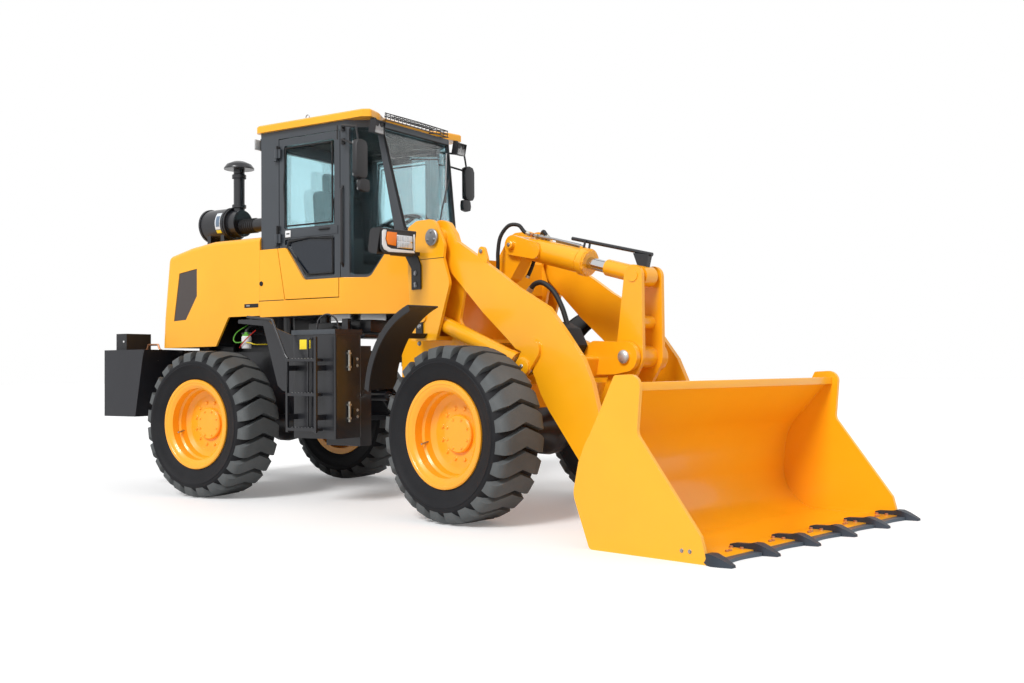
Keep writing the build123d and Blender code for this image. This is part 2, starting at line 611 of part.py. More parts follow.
# ---- front half ----------------------------------------------------------------
def front_frame():
    y0, y1 = TOWER_IN
    plate = side([
        (360, 620), (360, 1240, 60), (590, 1300, 60), (605, 2030, 40), (700, 2072, 60),
        (LIFT_PIVOT[0] + 10, 2072, 90), (990, 1880, 60), (975, 1790), (1040, 1608, 80),
        (975, 1330, 60), (1300, 1180, 80), (1640, 920), (1640, 720), (1620, 700),
        (AXLE_X + 160, 850, 40), (AXLE_X - 160, 850, 40), (AXLE_X - 230, 700), (1090, 620),
    ], y0, y1)
    frame = pair(plate)
    frame += box(360, 360 + PLATE_T, -y1, y1, 620, 1240)
    frame += box(370, 1150, -y0, y0, 1190, 1215)
    frame += box(1565, 1595, -y0, y0, 740, 900)
    outer = side([
        (640, 1230), (605, 1700), (605, 2030, 40), (700, 2072, 60), (LIFT_PIVOT[0] + 10, 2072, 90),
        (990, 1880, 60), (975, 1790), (1040, 1608, 80), (961, 1387), (905, 1230),
    ], *TOWER_OUT)
    frame += pair(outer + box(605, 635, y1, TOWER_OUT[0], 1260, 2000)
                  + box(640, 900, y0, TOWER_OUT[1], 1210, 1240))
    frame += box(640, 980, -y0, y0, 1560, 1800)
    frame += box(640, 665, -y0, y0, 1215, 1560)
    frame += side([(970, 1600), (1110, 1660, 60), (1245, 1830, 60), (1245, 1960, 60), (1100, 1975, 70),
                   (970, 1800)], -60, 60)
    reach = 365
    fork = flat([(0, -YOKE_R), (reach, -230), (reach, 230), (0, YOKE_R)], 0, FORK_T)
    fork += upright(0, 0, 0, FORK_T, YOKE_R)
    for z0 in TONGUE_Z:
        frame += Pos(0, 0, z0 - FORK_T - FORK_PLAY) * fork
        frame += Pos(0, 0, z0 + TONGUE_T + FORK_PLAY) * fork
        frame += upright(0, 0, z0 - FORK_T - 20, z0 + TONGUE_T + FORK_T + 15, PIN_R)
    for z0 in (STEER_Z - 72, STEER_Z + 47):
        lug = box(STEER_FRONT[0], reach, -35, 35, z0, z0 + 25)
        lug += upright(STEER_FRONT[0], 0, z0, z0 + 25, 35)
        frame += pair(Pos(0, STEER_FRONT[1], 0) * lug)
    frame += pair(across(LIFT_PIVOT, y0 - 12, TOWER_OUT[1] + 12, LIFT_PIN_R))
    frame += pair(across(LIFT_BASE, y0 - 12, TOWER_OUT[1] + 12, RAM_PIN_R))
    return frame + across(TILT_BASE, -125, 125, RAM_PIN_R)


def front_axle():
    return Pos(AXLE_X, 0, 0) * axle(sum(TOWER_IN) / 2, 850, -290)


def front_fenders():
    """Mudguards behind the front tyres, each on two arms from the tower."""
    def band(y0, y1, grow0, grow1):
        """The arc as a curved plate between two offsets from it."""
        def arc(grow):
            centre = (AXLE_X, TYRE_R)
            return [toward(p, centre, -grow) for p in FENDER_ARC]
        near, far = arc(grow0), arc(grow1)
        loop = Wire([ThreePointArc(*near), Line(near[2], far[2]),
                     ThreePointArc(*reversed(far)), Line(far[0], near[0])])
        return extrude(Pos(0, y0, 0) * Rot(90, 0, 0) * make_face(loop), y1 - y0, dir=(0, 1, 0))
    guard = band(*FENDER_Y, -FENDER_T, 0) + band(FENDER_Y[1] - 12, FENDER_Y[1], -50, 0)
    arms = box(700, 830, TOWER_OUT[1], FENDER_Y[0] + 200, 1225, 1260) - band(600, 1100, -300, 0)
    arms += box(700, 770, TOWER_OUT[1], TOWER_OUT[1] + 14, 1235, 1340)
    return pair(guard + arms)


def headlamps():
    x0, x1, y0, y1, z0, z1 = HEADLAMP
    bowl = side([(x0, z0 + 15, 35), (x1 - 40, z0, 10), (x1, z1 - 6, 10), (x0 + 25, z1, 35)], y0, y1)
    bowl -= box(x1 - 75, x1 + 5, y0 + 14, y1 - 14, z0 + 16, z1 - 18)
    for y in (y0 + 62, y0 + 170):
        bowl += rod((x1 - 90, y, (z0 + z1) / 2), (x1 - 52, y, (z0 + z1) / 2), 44)
    arm = side([(656, 1578), (752, 1578), (752, 1750), (705, z0 + 38), (600, z0 + 48),
                (592, z0 + 22), (656, 1730)], TOWER_OUT[1], TOWER_OUT[1] + 12)
    arm += box(600, x0 + 20, TOWER_OUT[1], y0 + 30, z0 + 22, z0 + 46)
    return pair(bowl + arm)


def boom():
    """Both lift arms with the cross box and the lever's bracket between them."""
    y0, y1 = ARM_Y
    arm = side([
        (812, 2063), (907, 2061), (958, 2044), (1025, 1961), (1050, 1901), (1229, 1795),
        (1466, 1648), (1606, 1557), (1893, 1405), (2037, 1240), (2178, 1067), (2254, 910),
        (2304, 721), (BUCKET_PIN[0] + 80, BUCKET_PIN[1] + 130), (BUCKET_PIN[0] - 70, BUCKET_PIN[1] - 45),
        (2143, 420), (1887, 738), (1823, 834), (1771, 946), (1740, 1010), (1532, 1201),
        (1300, 1390), (922, 1744), (800, 1840),
    ], y0, y1)
    arm += across(LIFT_PIVOT, y0, y1, 128) + across(BUCKET_PIN, y0, y1, 88)
    arm += across(LIFT_PIVOT, y0 - 35, y1 + 35, 75) + across(BUCKET_PIN, y0 - 8, y1 + 8, 70)
    lug = strap(LIFT_EYE, (1760, 1130), 62, 70, y0 - 25, y0)
    arm += lug + Pos(0, y1 - y0 + 25, 0) * lug
    arm -= across(LIFT_EYE, y0, y1, 75)
    arm -= side([toward(LIFT_EYE, LIFT_BASE, 0, 105), toward(LIFT_EYE, LIFT_BASE, 0, -80),
                 toward(LIFT_EYE, LIFT_BASE, 190, -80), toward(LIFT_EYE, LIFT_BASE, 190, 105)], y0, y1)
    middle = (y0 + y1) / 2
    arm += strap(EAR[:2], (1282, 1755), EAR[2], 48, middle - EAR_T / 2, middle + EAR_T / 2)
    arm += across(EAR[:2], middle - EAR_T / 2 - 6, middle + EAR_T / 2 + 6, 15)
    arm -= across(LIFT_PIVOT, y0 - 60, y1 + 60, LIFT_PIN_R + FIT)
    arm -= across(BUCKET_PIN, y0 - 60, y1 + 60, BUCKET_PIN_R + FIT)
    cross = side([(1820, 960, 20), (1990, 940, 20), (2020, 1080, 20), (1850, 1105, 20)], -y0, y0)
    bracket = side([(1850, 960), (1850, 1100), (1960, 1190, 60), (2150, 1180), (2230, 1180),
                    (2230, 980), (2150, 965)], *BRACKET_Y)
    bracket += across(LEVER_PIN, *BRACKET_Y, 100)
    whole = pair(arm) + cross + pair(bracket)
    return whole + across(LEVER_PIN, -BRACKET_Y[1] - 12, BRACKET_Y[1] + 12, LEVER_PIN_R)


def lift_barrels():
    y = sum(ARM_Y) / 2
    barrel = bar(LIFT_BASE, LIFT_EYE, 40, LIFT_BARREL, y, 55)
    barrel += bar(LIFT_BASE, LIFT_EYE, LIFT_BARREL - 60, LIFT_BARREL, y, 60)
    barrel += across(LIFT_BASE, y - 48, y + 48, 60)
    start, bore = LIFT_BORE
    barrel -= bar(LIFT_BASE, LIFT_EYE, start, LIFT_BARREL + 10, y, bore + FIT)
    return pair(barrel - across(LIFT_BASE, y - 60, y + 60, RAM_PIN_R + FIT))


def lift_rods():
    y = sum(ARM_Y) / 2
    length = math.dist(LIFT_BASE, LIFT_EYE)
    ram = bar(LIFT_BASE, LIFT_EYE, LIFT_BORE[0] + 6, length - 85, y, LIFT_BORE[1])
    shank = [toward(LIFT_BASE, LIFT_EYE, *at) for at in
             ((length - 86, -32), (length, -32), (length, 32), (length - 86, 32))]
    ram += side(shank, y - 16, y + 16) + across(LIFT_EYE, y - 16, y + 16, 50)
    return pair(ram - across(LIFT_EYE, y - 60, y + 60, RAM_PIN_R))


def tilt_line(reach, rise=0):
    return toward(TILT_BASE, LEVER_TOP, reach, rise)


def tilt_barrel():
    x0, x1 = tilt_line(70), tilt_line(TILT_BARREL)
    barrel = rod((x0[0], 0, x0[1]), (x1[0], 0, x1[1]), 75)
    neck = tilt_line(TILT_BARREL - 70)
    barrel += rod((neck[0], 0, neck[1]), (x1[0], 0, x1[1]), 88)
    barrel -= across(TILT_BASE, -60 - GAP, 60 + GAP, 115)
    barrel -= side([tilt_line(0, 115), tilt_line(115, 115), tilt_line(115, -115), tilt_line(0, -115)],
                   -60 - GAP, 60 + GAP)
    cheek = strap(TILT_BASE, tilt_line(210), 72, 60, 70, 105)
    barrel += pair(cheek)
    barrel -= bar(TILT_BASE, LEVER_TOP, 135, TILT_BARREL + 10, 0, 42 + FIT)
    return barrel - across(TILT_BASE, -130, 130, RAM_PIN_R + FIT)


def tilt_rod():
    """Tilt ram with the eye that goes between the lever's cheeks."""
    length = math.dist(TILT_BASE, LEVER_TOP)
    ram = bar(TILT_BASE, LEVER_TOP, 320, length - 20, 0, 42)
    ram += bar(TILT_BASE, LEVER_TOP, TILT_BARREL + 160, length - 40, 0, 55)
    ram += across(LEVER_TOP, -60, 60, 68)
    return ram - across(LEVER_TOP, -70, 70, RAM_PIN_R)


def level_bar():
    """Pointer over the tilt ram that shows the driver when the bucket is level."""
    foot_x, foot_z = LEVER_TOP[0], LEVER_TOP[1] + 50
    foot = side([(foot_x - 30, foot_z), (foot_x + 30, foot_z), (foot_x + 55, foot_z + 90),
                 (foot_x - 75, foot_z + 110)], -20, 20) - across(LEVER_TOP, -30, 30, 68)
    foot -= bar(TILT_BASE, LEVER_TOP, 900, 1100, 0, 55)
    return foot + rod((LEVEL_BAR[0], 0, LEVEL_BAR[1]), (LEVEL_BAR[2], 0, LEVEL_BAR[3]), 13)


def lever():
    cheek = strap(LEVER_TOP, LEVER_PIN, 72, 110, *LEVER_Y)
    cheek += strap(LEVER_PIN, LEVER_FOOT, 110, 62, *LEVER_Y)
    whole = pair(cheek)
    whole += across(toward(LEVER_PIN, LEVER_TOP, 230), -LEVER_Y[0], LEVER_Y[0], 45)
    whole += across(LEVER_PIN, -LEVER_Y[0], LEVER_Y[0], 75)
    whole += pair(across(LEVER_FOOT, LEVER_Y[1], LEVER_Y[1] + 8, 40))
    whole += pair(across(LEVER_TOP, LEVER_Y[1], LEVER_Y[1] + 8, 40))
    return whole - across(LEVER_PIN, -150, 150, LEVER_PIN_R + FIT)


def tilt_link():
    link = strap(LEVER_FOOT, LINK_PIN, 62, 58, -LINK_HALF + 10, LINK_HALF - 10)
    link += across(LEVER_FOOT, -LINK_HALF, LINK_HALF, 62) + across(LINK_PIN, -LINK_HALF, LINK_HALF, 58)
    link -= across(LEVER_FOOT, -50, 50, RAM_PIN_R + FIT)
    return link - across(LINK_PIN, -50, 50, RAM_PIN_R)


def bucket():
    back, r = BUCKET_BACK, BUCKET_ARC
    profile = [(EDGE_X, 0), (back - 40, 0, r), (back + 10, 560, 380), (LIP[0] - 10, LIP[1] + 25)]
    inner = [(EDGE_X, BUCKET_PLATE), (back - 40 + BUCKET_PLATE, BUCKET_PLATE, r - BUCKET_PLATE),
             (back + 10 + BUCKET_PLATE, 560, 360), (LIP[0] + 14, LIP[1] + 20)]
    wrapper = side(profile + list(reversed(inner)), -BUCKET_HALF, BUCKET_HALF)
    cheek = side([
        (back + 72, 0, 30), (2596, 300, 120), (back, 490, 120), (2785, 755, 100), (2897, 970, 20),
        (LIP[0], LIP[1] + LIP_R), (3070, LIP[1]), (3047, 655, 60), (3447, 143, 30), (EDGE_X - 4, 0),
    ], BUCKET_HALF - BUCKET_SIDE, BUCKET_HALF) + across(LIP, BUCKET_HALF - BUCKET_SIDE, BUCKET_HALF, LIP_R)
    whole = wrapper + pair(cheek)
    skin = side(profile + [(LIP[0] - 10, 1100), (4000, 1100), (4000, 0)], -900, 900)
    ear = strap(BUCKET_PIN, (2680, 330), 85, 150, 455, 485)
    ears = ear + Pos(0, 100, 0) * ear
    link_ear = strap(LINK_PIN, (2720, 700), 70, 120, LINK_HALF + 10, LINK_HALF + 40)
    return whole + (pair(ears + link_ear) - skin) + pair(across(BUCKET_PIN, 455, 585, BUCKET_PIN_R))


def bucket_teeth():
    """Dark teeth under the cutting edge, and the edge segments between them."""
    pitch = 2 * TOOTH_SPREAD / (TOOTH_COUNT - 1)
    tooth = side([(EDGE_X, 0), (TOOTH_TIP, 0), (TOOTH_TIP, 14), (EDGE_X + 20, 62), (EDGE_X, 62)], -45, 45)
    teeth = [Pos(0, -TOOTH_SPREAD + i * pitch, 0) * tooth for i in range(TOOTH_COUNT)]
    segment = side([(EDGE_X, 0), (EDGE_X + 60, 0), (EDGE_X + 45, 22), (EDGE_X, 22)], 45, pitch - 45)
    edges = [Pos(0, -TOOTH_SPREAD + i * pitch, 0) * segment for i in range(TOOTH_COUNT - 1)]
    return sum(teeth[1:] + edges, teeth[0])


# ---- steering cylinders, drawn at the turned front half's place ----------------
def steer_ends(sign):
    turn = math.radians(-REST_TURN)
    x, y = STEER_FRONT[0], sign * STEER_FRONT[1]
    front = (PIVOT_X + x * math.cos(turn) - y * math.sin(turn), x * math.sin(turn) + y * math.cos(turn))
    return (STEER_REAR[0], sign * STEER_REAR[1]), front


def steer_barrel(sign):
    rear, front = steer_ends(sign)
    barrel = steer_bar(rear, front, 42, STEER_BARREL, 38)
    barrel += upright(*rear, STEER_Z - 27, STEER_Z + 27, 48)
    barrel -= steer_bar(rear, front, 60, STEER_BARREL + 10, 20 + FIT)
    return barrel - upright(*rear, STEER_Z - 70, STEER_Z + 70, STEER_PIN_R + FIT)


def steer_ram(sign):
    rear, front = steer_ends(sign)
    length = math.dist(rear, front)
    ram = steer_bar(rear, front, length - STEER_ROD, length - 15, 20)
    ram += upright(*front, STEER_Z - 42, STEER_Z + 42, 32)
    return ram - upright(*front, STEER_Z - 70, STEER_Z + 70, STEER_PIN_R + FIT)


# ---- placing and export --------------------------------------------------------
def turned(part):
    """From the front half's own straight frame to its place at rest."""
    return Pos(PIVOT_X, 0, 0) * Rot(0, 0, -REST_TURN) * part


def nodes():
    rear = {
        "rear_frame": rear_frame(), "counterweight": counterweight(), "rear_axle": rear_axle(),
        "engine_block": engine_block(), "hood": hood(), "hood_grilles": hood_grilles(),
        "rear_gate": rear_gate(), "air_cleaner": air_cleaner(), "lamps": lamps(),
        "cab_shell": cab_shell(), "cab_roof": cab_roof(), "cab_glass": cab_glass(),
        "cab_cladding": cab_cladding(), "seat": seat(), "driver_controls": controls(),
        "side_boxes": side_boxes(), "steps": steps(), "rails_and_mirrors": rails(),
    }
    doors = {"frame": door_frame(), "glass": door_glass(), "panel": door_panel()}
    for name, part in doors.items():
        rear[f"door_{name}_left"] = part
        rear[f"door_{name}_right"] = mirror(part, about=Plane.XZ)
    for name, sign in (("left", 1), ("right", -1)):
        rear[f"steer_barrel_{name}"] = steer_barrel(sign)
        rear[f"steer_ram_{name}"] = steer_ram(sign)
    front = {
        "front_frame": front_frame(), "front_axle": front_axle(), "front_fenders": front_fenders(),
        "headlamps": headlamps(), "boom": boom(), "lift_barrels": lift_barrels(),
        "lift_rods": lift_rods(), "tilt_barrel": tilt_barrel(), "tilt_rod": tilt_rod(),
        "level_bar": level_bar(), "lever": lever(), "tilt_link": tilt_link(), "bucket": bucket(),
        "bucket_teeth": bucket_teeth(),
    }
    for name, (half, sign) in WHEELS.items():
        target = rear if half == "rear" else front
        target[f"rim_{name}"] = at_wheel(name, rim())
        target[f"tyre_{name}"] = at_wheel(name, tyre())
    placed = dict(rear)
    placed.update({name: turned(part) for name, part in front.items()})
    shift = Pos(-ORIGIN[0], -ORIGIN[1], 0)
    return {name: shift * part for name, part in placed.items()}


os.makedirs("parts", exist_ok=True)
for node, part in nodes().items():
    export_step(part, f"parts/{node}.step")
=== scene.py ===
import bmesh
import bpy
import math
from mathutils import Matrix, Vector


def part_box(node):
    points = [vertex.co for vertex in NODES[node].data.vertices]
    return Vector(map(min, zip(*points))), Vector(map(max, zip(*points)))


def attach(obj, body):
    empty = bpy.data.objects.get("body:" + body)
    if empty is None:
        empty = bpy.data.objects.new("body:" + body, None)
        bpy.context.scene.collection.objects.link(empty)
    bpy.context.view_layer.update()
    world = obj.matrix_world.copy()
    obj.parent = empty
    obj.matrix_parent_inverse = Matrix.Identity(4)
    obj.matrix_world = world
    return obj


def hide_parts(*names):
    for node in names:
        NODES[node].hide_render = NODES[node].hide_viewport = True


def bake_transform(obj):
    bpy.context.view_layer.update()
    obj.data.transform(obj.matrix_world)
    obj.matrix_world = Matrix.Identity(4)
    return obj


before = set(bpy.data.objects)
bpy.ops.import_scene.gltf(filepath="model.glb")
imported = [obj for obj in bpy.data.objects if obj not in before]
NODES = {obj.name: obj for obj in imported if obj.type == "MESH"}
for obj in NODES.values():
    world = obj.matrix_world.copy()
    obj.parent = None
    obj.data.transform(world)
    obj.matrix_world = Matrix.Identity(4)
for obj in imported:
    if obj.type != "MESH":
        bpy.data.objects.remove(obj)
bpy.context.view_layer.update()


# ---- places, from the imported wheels
def middle(*names):
    """Middle of the box round some CAD nodes."""
    corners = [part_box(name) for name in names]
    low = [min(c[0][i] for c in corners) for i in range(3)]
    high = [max(c[1][i] for c in corners) for i in range(3)]
    return (Vector(low) + Vector(high)) / 2


PIVOT_X = 1399  # from the articulation pin to each axle, in millimetres
TYRE_R = 582
HALF_TRACK = 850
TO_METRES = Matrix.Scale(0.001, 4)
rear_axle = middle("rim_rear_left", "rim_rear_right")
REAR_POINT = Vector((rear_axle.x, rear_axle.y, 0))
front_span = middle("rim_front_left") - middle("rim_front_right")
TURN = math.atan2(-front_span.x, front_span.y)
REAR = Matrix.Translation(REAR_POINT) @ TO_METRES
FRONT = (Matrix.Translation(REAR_POINT + Vector((PIVOT_X / 1000, 0, 0)))
         @ Matrix.Rotation(TURN, 4, "Z") @ TO_METRES)


# ---- camera
def aim_camera(place, swing, pitch, roll, lens):
    """A camera at place, turned by swing, pitch and roll, with a lens in millimetres."""
    back = Vector((math.sin(swing) * math.cos(pitch), -math.cos(swing) * math.cos(pitch),
                   -math.sin(pitch)))
    right = Vector((math.cos(swing), math.sin(swing), 0))
    up = right.cross(-back)
    right, up = (right * math.cos(roll) + up * math.sin(roll),
                 up * math.cos(roll) - right * math.sin(roll))
    data = bpy.data.cameras.new("camera")
    data.lens, data.sensor_width = lens, 36
    data.clip_end = 200
    camera = bpy.data.objects.new("camera", data)
    bpy.context.scene.collection.objects.link(camera)
    turn = Matrix((right, up, back)).transposed()
    camera.matrix_world = Matrix.Translation(place) @ turn.to_4x4()
    bpy.context.scene.camera = camera


aim_camera(REAR_POINT + Vector((6.8716, -7.0822, 1.0264)), swing=math.radians(32.72),
           pitch=math.radians(1.246), roll=math.radians(-0.419), lens=39.15)


# ---- finishes
class Port:
    """A node's output that takes part in sums."""

    def __init__(self, finish, socket):
        self.finish, self.socket = finish, socket

    def calc(self, operation, *values):
        return self.finish.node("ShaderNodeMath", dict(operation=operation), *values)

    def __add__(self, other):
        return self.calc("ADD", self, other)

    def __mul__(self, other):
        return self.calc("MULTIPLY", self, other)

    def ramp(self, *stops):
        """The value sent through straight runs between (place, value) stops."""
        return self.finish.node("ShaderNodeValToRGB", dict(stops=stops), self)


class Finish:
    """A material, built node by node."""

    def __init__(self, name, **shader):
        self.material = bpy.data.materials.new(name)
        self.material.use_nodes = True
        self.tree = self.material.node_tree
        self.shader = self.tree.nodes["Principled BSDF"]
        self.put(self.shader, shader)
        self.here = self.node("ShaderNodeTexCoord", {}, out="Object")

    def put(self, node, inputs):
        for name, value in inputs.items():
            socket = node.inputs[name if isinstance(name, int) else name.replace("_", " ")]
            if isinstance(value, Port):
                self.tree.links.new(value.socket, socket)
            elif value is not None:
                socket.default_value = value

    def node(self, kind, settings, *values, out=0, **named):
        made = self.tree.nodes.new(kind)
        for name, value in settings.items():
            if name == "stops":
                ramp = made.color_ramp
                while len(ramp.elements) < len(value):
                    ramp.elements.new(0.5)
                for element, (place, level) in zip(ramp.elements, value):
                    element.position = place
                    element.color = (*level, 1) if isinstance(level, tuple) else (level,) * 3 + (1,)
            else:
                setattr(made, name, value)
        self.put(made, dict(enumerate(values)))
        self.put(made, named)
        return Port(self, made.outputs[out])

    def noise(self, scale, detail=3, rough=0.5, at=None):
        return self.node("ShaderNodeTexNoise", {}, Vector=at or self.here, Scale=scale,
                         Detail=detail, Roughness=rough)

    def stretch(self, x, y, z):
        return self.node("ShaderNodeMapping", {}, self.here, Scale=(x, y, z))

    def blend(self, mask, low, high):
        mix = self.tree.nodes.new("ShaderNodeMix")
        mix.data_type = "RGBA"
        colours = [c if isinstance(c, Port) else (*c, 1) for c in (low, high)]
        self.put(mix, {0: mask, 6: colours[0], 7: colours[1]})
        return Port(self, mix.outputs[2])

    def edges(self, radius):
        """1 along edges and 0 on open faces."""
        soft = self.node("ShaderNodeBevel", dict(samples=3), Radius=radius)
        flat = self.node("ShaderNodeNewGeometry", {}, out="Normal")
        like = self.node("ShaderNodeVectorMath", dict(operation="DOT_PRODUCT"), soft, flat,
                         out="Value")
        return like.ramp((0.86, 1.0), (0.985, 0.0))

    def bump(self, height, strength, distance):
        return self.node("ShaderNodeBump", {}, Height=height, Strength=strength, Distance=distance)

    def set(self, **inputs):
        self.put(self.shader, inputs)
        return self


def painted(name, base, deep, edge_highlight_and_wear_colour, gloss, coat):
    """Sprayed paint: slow changes of tone, orange peel, and lighter edges that are a painted highlight,
    partly wear as well.
    """
    made = Finish(name, Coat_Weight=coat, Coat_Roughness=0.09, Specular_IOR_Level=0.5)
    slow, fine = made.noise(1.6, 4, 0.6), made.noise(55, 5, 0.65)
    # mask of the edges painted lighter (a painted highlight along the edges, partly wear as well), which
    # are also made rougher
    edge_highlight_and_wear = made.edges(0.004) * fine.ramp((0.42, 0.0), (0.62, 1.0)) * 0.55
    tone = made.blend(slow.ramp((0.35, 0.0), (0.7, 1.0)), base, deep)
    peel = made.noise(320, 2, 0.5)
    return made.set(
        Base_Color=made.blend(edge_highlight_and_wear, tone, edge_highlight_and_wear_colour),
        Roughness=fine * 0.1 + (gloss - 0.05) + edge_highlight_and_wear * 0.25,
        Normal=made.bump(peel, 0.06, 0.0006),
    )


def rubber(name, base, dusty):
    """Matt rubber with dust in patches."""
    made = Finish(name, Specular_IOR_Level=0.2)
    slow, fine = made.noise(3.2, 5, 0.6), made.noise(140, 6, 0.7)
    dust = slow.ramp((0.4, 0.0), (0.75, 1.0)) * fine.ramp((0.35, 0.2), (0.7, 1.0))
    return made.set(
        Base_Color=made.blend(dust, base, dusty),
        Roughness=fine * 0.25 + 0.5,
        Normal=made.bump(fine + slow * 0.4, 0.25, 0.0015),
    )


def moulded():
    """Grained black plastic."""
    made = Finish("moulded_plastic", Specular_IOR_Level=0.45)
    grain, slow = made.noise(420, 2, 0.5), made.noise(2.4, 3, 0.5)
    return made.set(
        Base_Color=made.blend(slow, (0.009, 0.009, 0.011), (0.016, 0.016, 0.018)),
        Roughness=grain * 0.16 + 0.38,
        Normal=made.bump(grain, 0.18, 0.0006),
    )


def chromed():
    """Drawn and polished rod."""
    made = Finish("chrome", Metallic=1.0)
    drawn = made.noise(6, 3, 0.5, made.stretch(60, 60, 1))
    smear = made.noise(5, 4, 0.6)
    return made.set(
        Base_Color=made.blend(smear, (0.52, 0.53, 0.55), (0.66, 0.67, 0.69)),
        Roughness=drawn * 0.08 + smear * 0.08 + 0.06,
        Normal=made.bump(drawn, 0.04, 0.0004),
    )


def bare_steel():
    """Ground steel, a little dull."""
    base = (0.36, 0.36, 0.37)
    made = Finish("bare_steel", Metallic=0.9)
    ground, slow = made.noise(40, 5, 0.7, made.stretch(1, 9, 9)), made.noise(4, 4, 0.6)
    return made.set(
        Base_Color=made.blend(slow * ground, base, tuple(0.55 * c for c in base)),
        Roughness=ground * 0.3 + 0.28,
        Normal=made.bump(ground, 0.2, 0.001),
    )


def tinted_glass():
    """Window glass: see-through with a cool tint, a soft gloss and faint smears."""
    made = Finish("tinted_glass", Specular_IOR_Level=0.5, Transmission_Weight=1.0, IOR=1.25)
    slow = made.noise(1.8, 3, 0.5)
    return made.set(Base_Color=made.blend(slow, (0.46, 0.8, 0.87), (0.52, 0.84, 0.91)),
                    Roughness=made.noise(14, 4, 0.6) * 0.02 + 0.01, Alpha=slow * 0.1 + 0.5)


def dark_glass():
    """The doors' lower panes, nearly opaque."""
    made = Finish("dark_glass", Specular_IOR_Level=0.6)
    slow = made.noise(1.8, 3, 0.5)
    return made.set(Base_Color=made.blend(slow, (0.008, 0.012, 0.02), (0.014, 0.02, 0.03)),
                    Roughness=made.noise(14, 4, 0.6) * 0.05 + 0.04, Alpha=slow * 0.1 + 0.8)


def plain(name, base, rough, metal=0.0, grain=60):
    """A plain surface with a slow change of tone and a fine grain."""
    made = Finish(name, Metallic=metal, Specular_IOR_Level=0.4)
    slow, fine = made.noise(5, 3, 0.5), made.noise(grain, 4, 0.6)
    return made.set(Base_Color=made.blend(slow, base, tuple(0.82 * c for c in base)),
                    Roughness=fine * 0.15 + rough, Normal=made.bump(fine, 0.08, 0.0005))


def clear_lens():
    """A lamp's cover: mostly see-through, with fine upright flutes."""
    base = (0.85, 0.88, 0.9)
    made = Finish("clear_lens", Coat_Weight=0.5, Coat_Roughness=0.03)
    flutes = made.node("ShaderNodeTexWave", dict(bands_direction="Y"), Scale=28.0, Distortion=0.0,
                       out="Fac")
    return made.set(Base_Color=made.blend(flutes, base, tuple(0.85 * c for c in base)),
                    Roughness=flutes * 0.08 + 0.06, Alpha=flutes * 0.15 + 0.3,
                    Normal=made.bump(flutes, 0.3, 0.001))


def perforated():
    """Fine round holes in a dark sheet."""
    made = Finish("perforated_sheet", Specular_IOR_Level=0.3)
    cells = made.node("ShaderNodeTexVoronoi", {}, Vector=made.here, Scale=95.0, Randomness=0.0)
    holes = cells.ramp((0.36, 1.0), (0.42, 0.0))
    return made.set(Base_Color=made.blend(holes, (0.066, 0.055, 0.052), (0.008, 0.008, 0.009)),
                    Roughness=holes * 0.3 + 0.45, Normal=made.bump(holes, 0.4, 0.002))


def woven():
    """Seat cloth."""
    made = Finish("seat_cloth", Specular_IOR_Level=0.15)
    warp = made.node("ShaderNodeTexWave", dict(bands_direction="Y"), Scale=160.0, out="Fac")
    weft = made.node("ShaderNodeTexWave", dict(bands_direction="Z"), Scale=160.0, out="Fac")
    knot = warp * weft
    return made.set(Base_Color=made.blend(knot, (0.013, 0.014, 0.016), (0.04, 0.042, 0.046)),
                    Roughness=knot * 0.1 + 0.85, Normal=made.bump(knot, 0.5, 0.0008))


# each paint's fourth colour is the lighter colour of its edges: a painted highlight, partly wear as well
PAINT = painted("yellow_paint", (0.95, 0.425, 0.008), (0.92, 0.392, 0.006), (0.98, 0.66, 0.16),
                gloss=0.3, coat=0.3)
RIM_PAINT = painted("rim_paint", (0.94, 0.395, 0.012), (0.9, 0.35, 0.009), (0.98, 0.66, 0.16),
                    gloss=0.34, coat=0.25)
DARK = painted("dark_paint", (0.012, 0.0125, 0.016), (0.008, 0.0085, 0.011), (0.1, 0.1, 0.11),
               gloss=0.34, coat=0.2)
TAIL = painted("tail_paint", (0.011, 0.0115, 0.016), (0.008, 0.0085, 0.012), (0.08, 0.08, 0.09),
               gloss=0.46, coat=0.03)
CAB = painted("cab_paint", (0.039, 0.046, 0.055), (0.031, 0.037, 0.045), (0.15, 0.15, 0.16),
              gloss=0.36, coat=0.2)
RUBBER = rubber("tyre_rubber", (0.0075, 0.0078, 0.0095), (0.02, 0.02, 0.022))
PLASTIC = moulded()
CHROME = chromed()
STEEL = bare_steel()
GLASS = tinted_glass()
GRID = perforated()
CLOTH = woven()
LUG = rubber("lug_rubber", (0.082, 0.088, 0.09), (0.135, 0.142, 0.144))
DARK_GLASS = dark_glass()
SEAL = plain("seal_rubber", (0.008, 0.008, 0.009), 0.6)
ZINC = plain("zinc", (0.52, 0.5, 0.44), 0.3, 0.85)
COPPER = plain("copper", (0.62, 0.3, 0.16), 0.32, 0.9)
WHITE = plain("white_plastic", (0.8, 0.8, 0.8), 0.35)
ORANGE = plain("orange_lens", (0.95, 0.24, 0.02), 0.15)
RED = plain("red_plastic", (0.55, 0.02, 0.015), 0.3)
GREEN = plain("green_wire", (0.12, 0.4, 0.04), 0.4)
SILVER = plain("worn_edge", (0.55, 0.55, 0.55), 0.35, 0.7)
CUT_EDGE = plain("cut_edge", (0.1, 0.125, 0.155), 0.38, 0.45)
TOOTH = plain("tooth_steel", (0.036, 0.046, 0.062), 0.4, 0.35)
LENS = clear_lens()
LABEL = plain("blank_label", (0.74, 0.78, 0.82), 0.3)
BAND = plain("blank_label_band", (0.14, 0.2, 0.28), 0.3)
AMBER = plain("yellow_label", (0.95, 0.72, 0.03), 0.3)
HOSE = plain("hose_rubber", (0.01, 0.01, 0.011), 0.5, 0.0, 180)
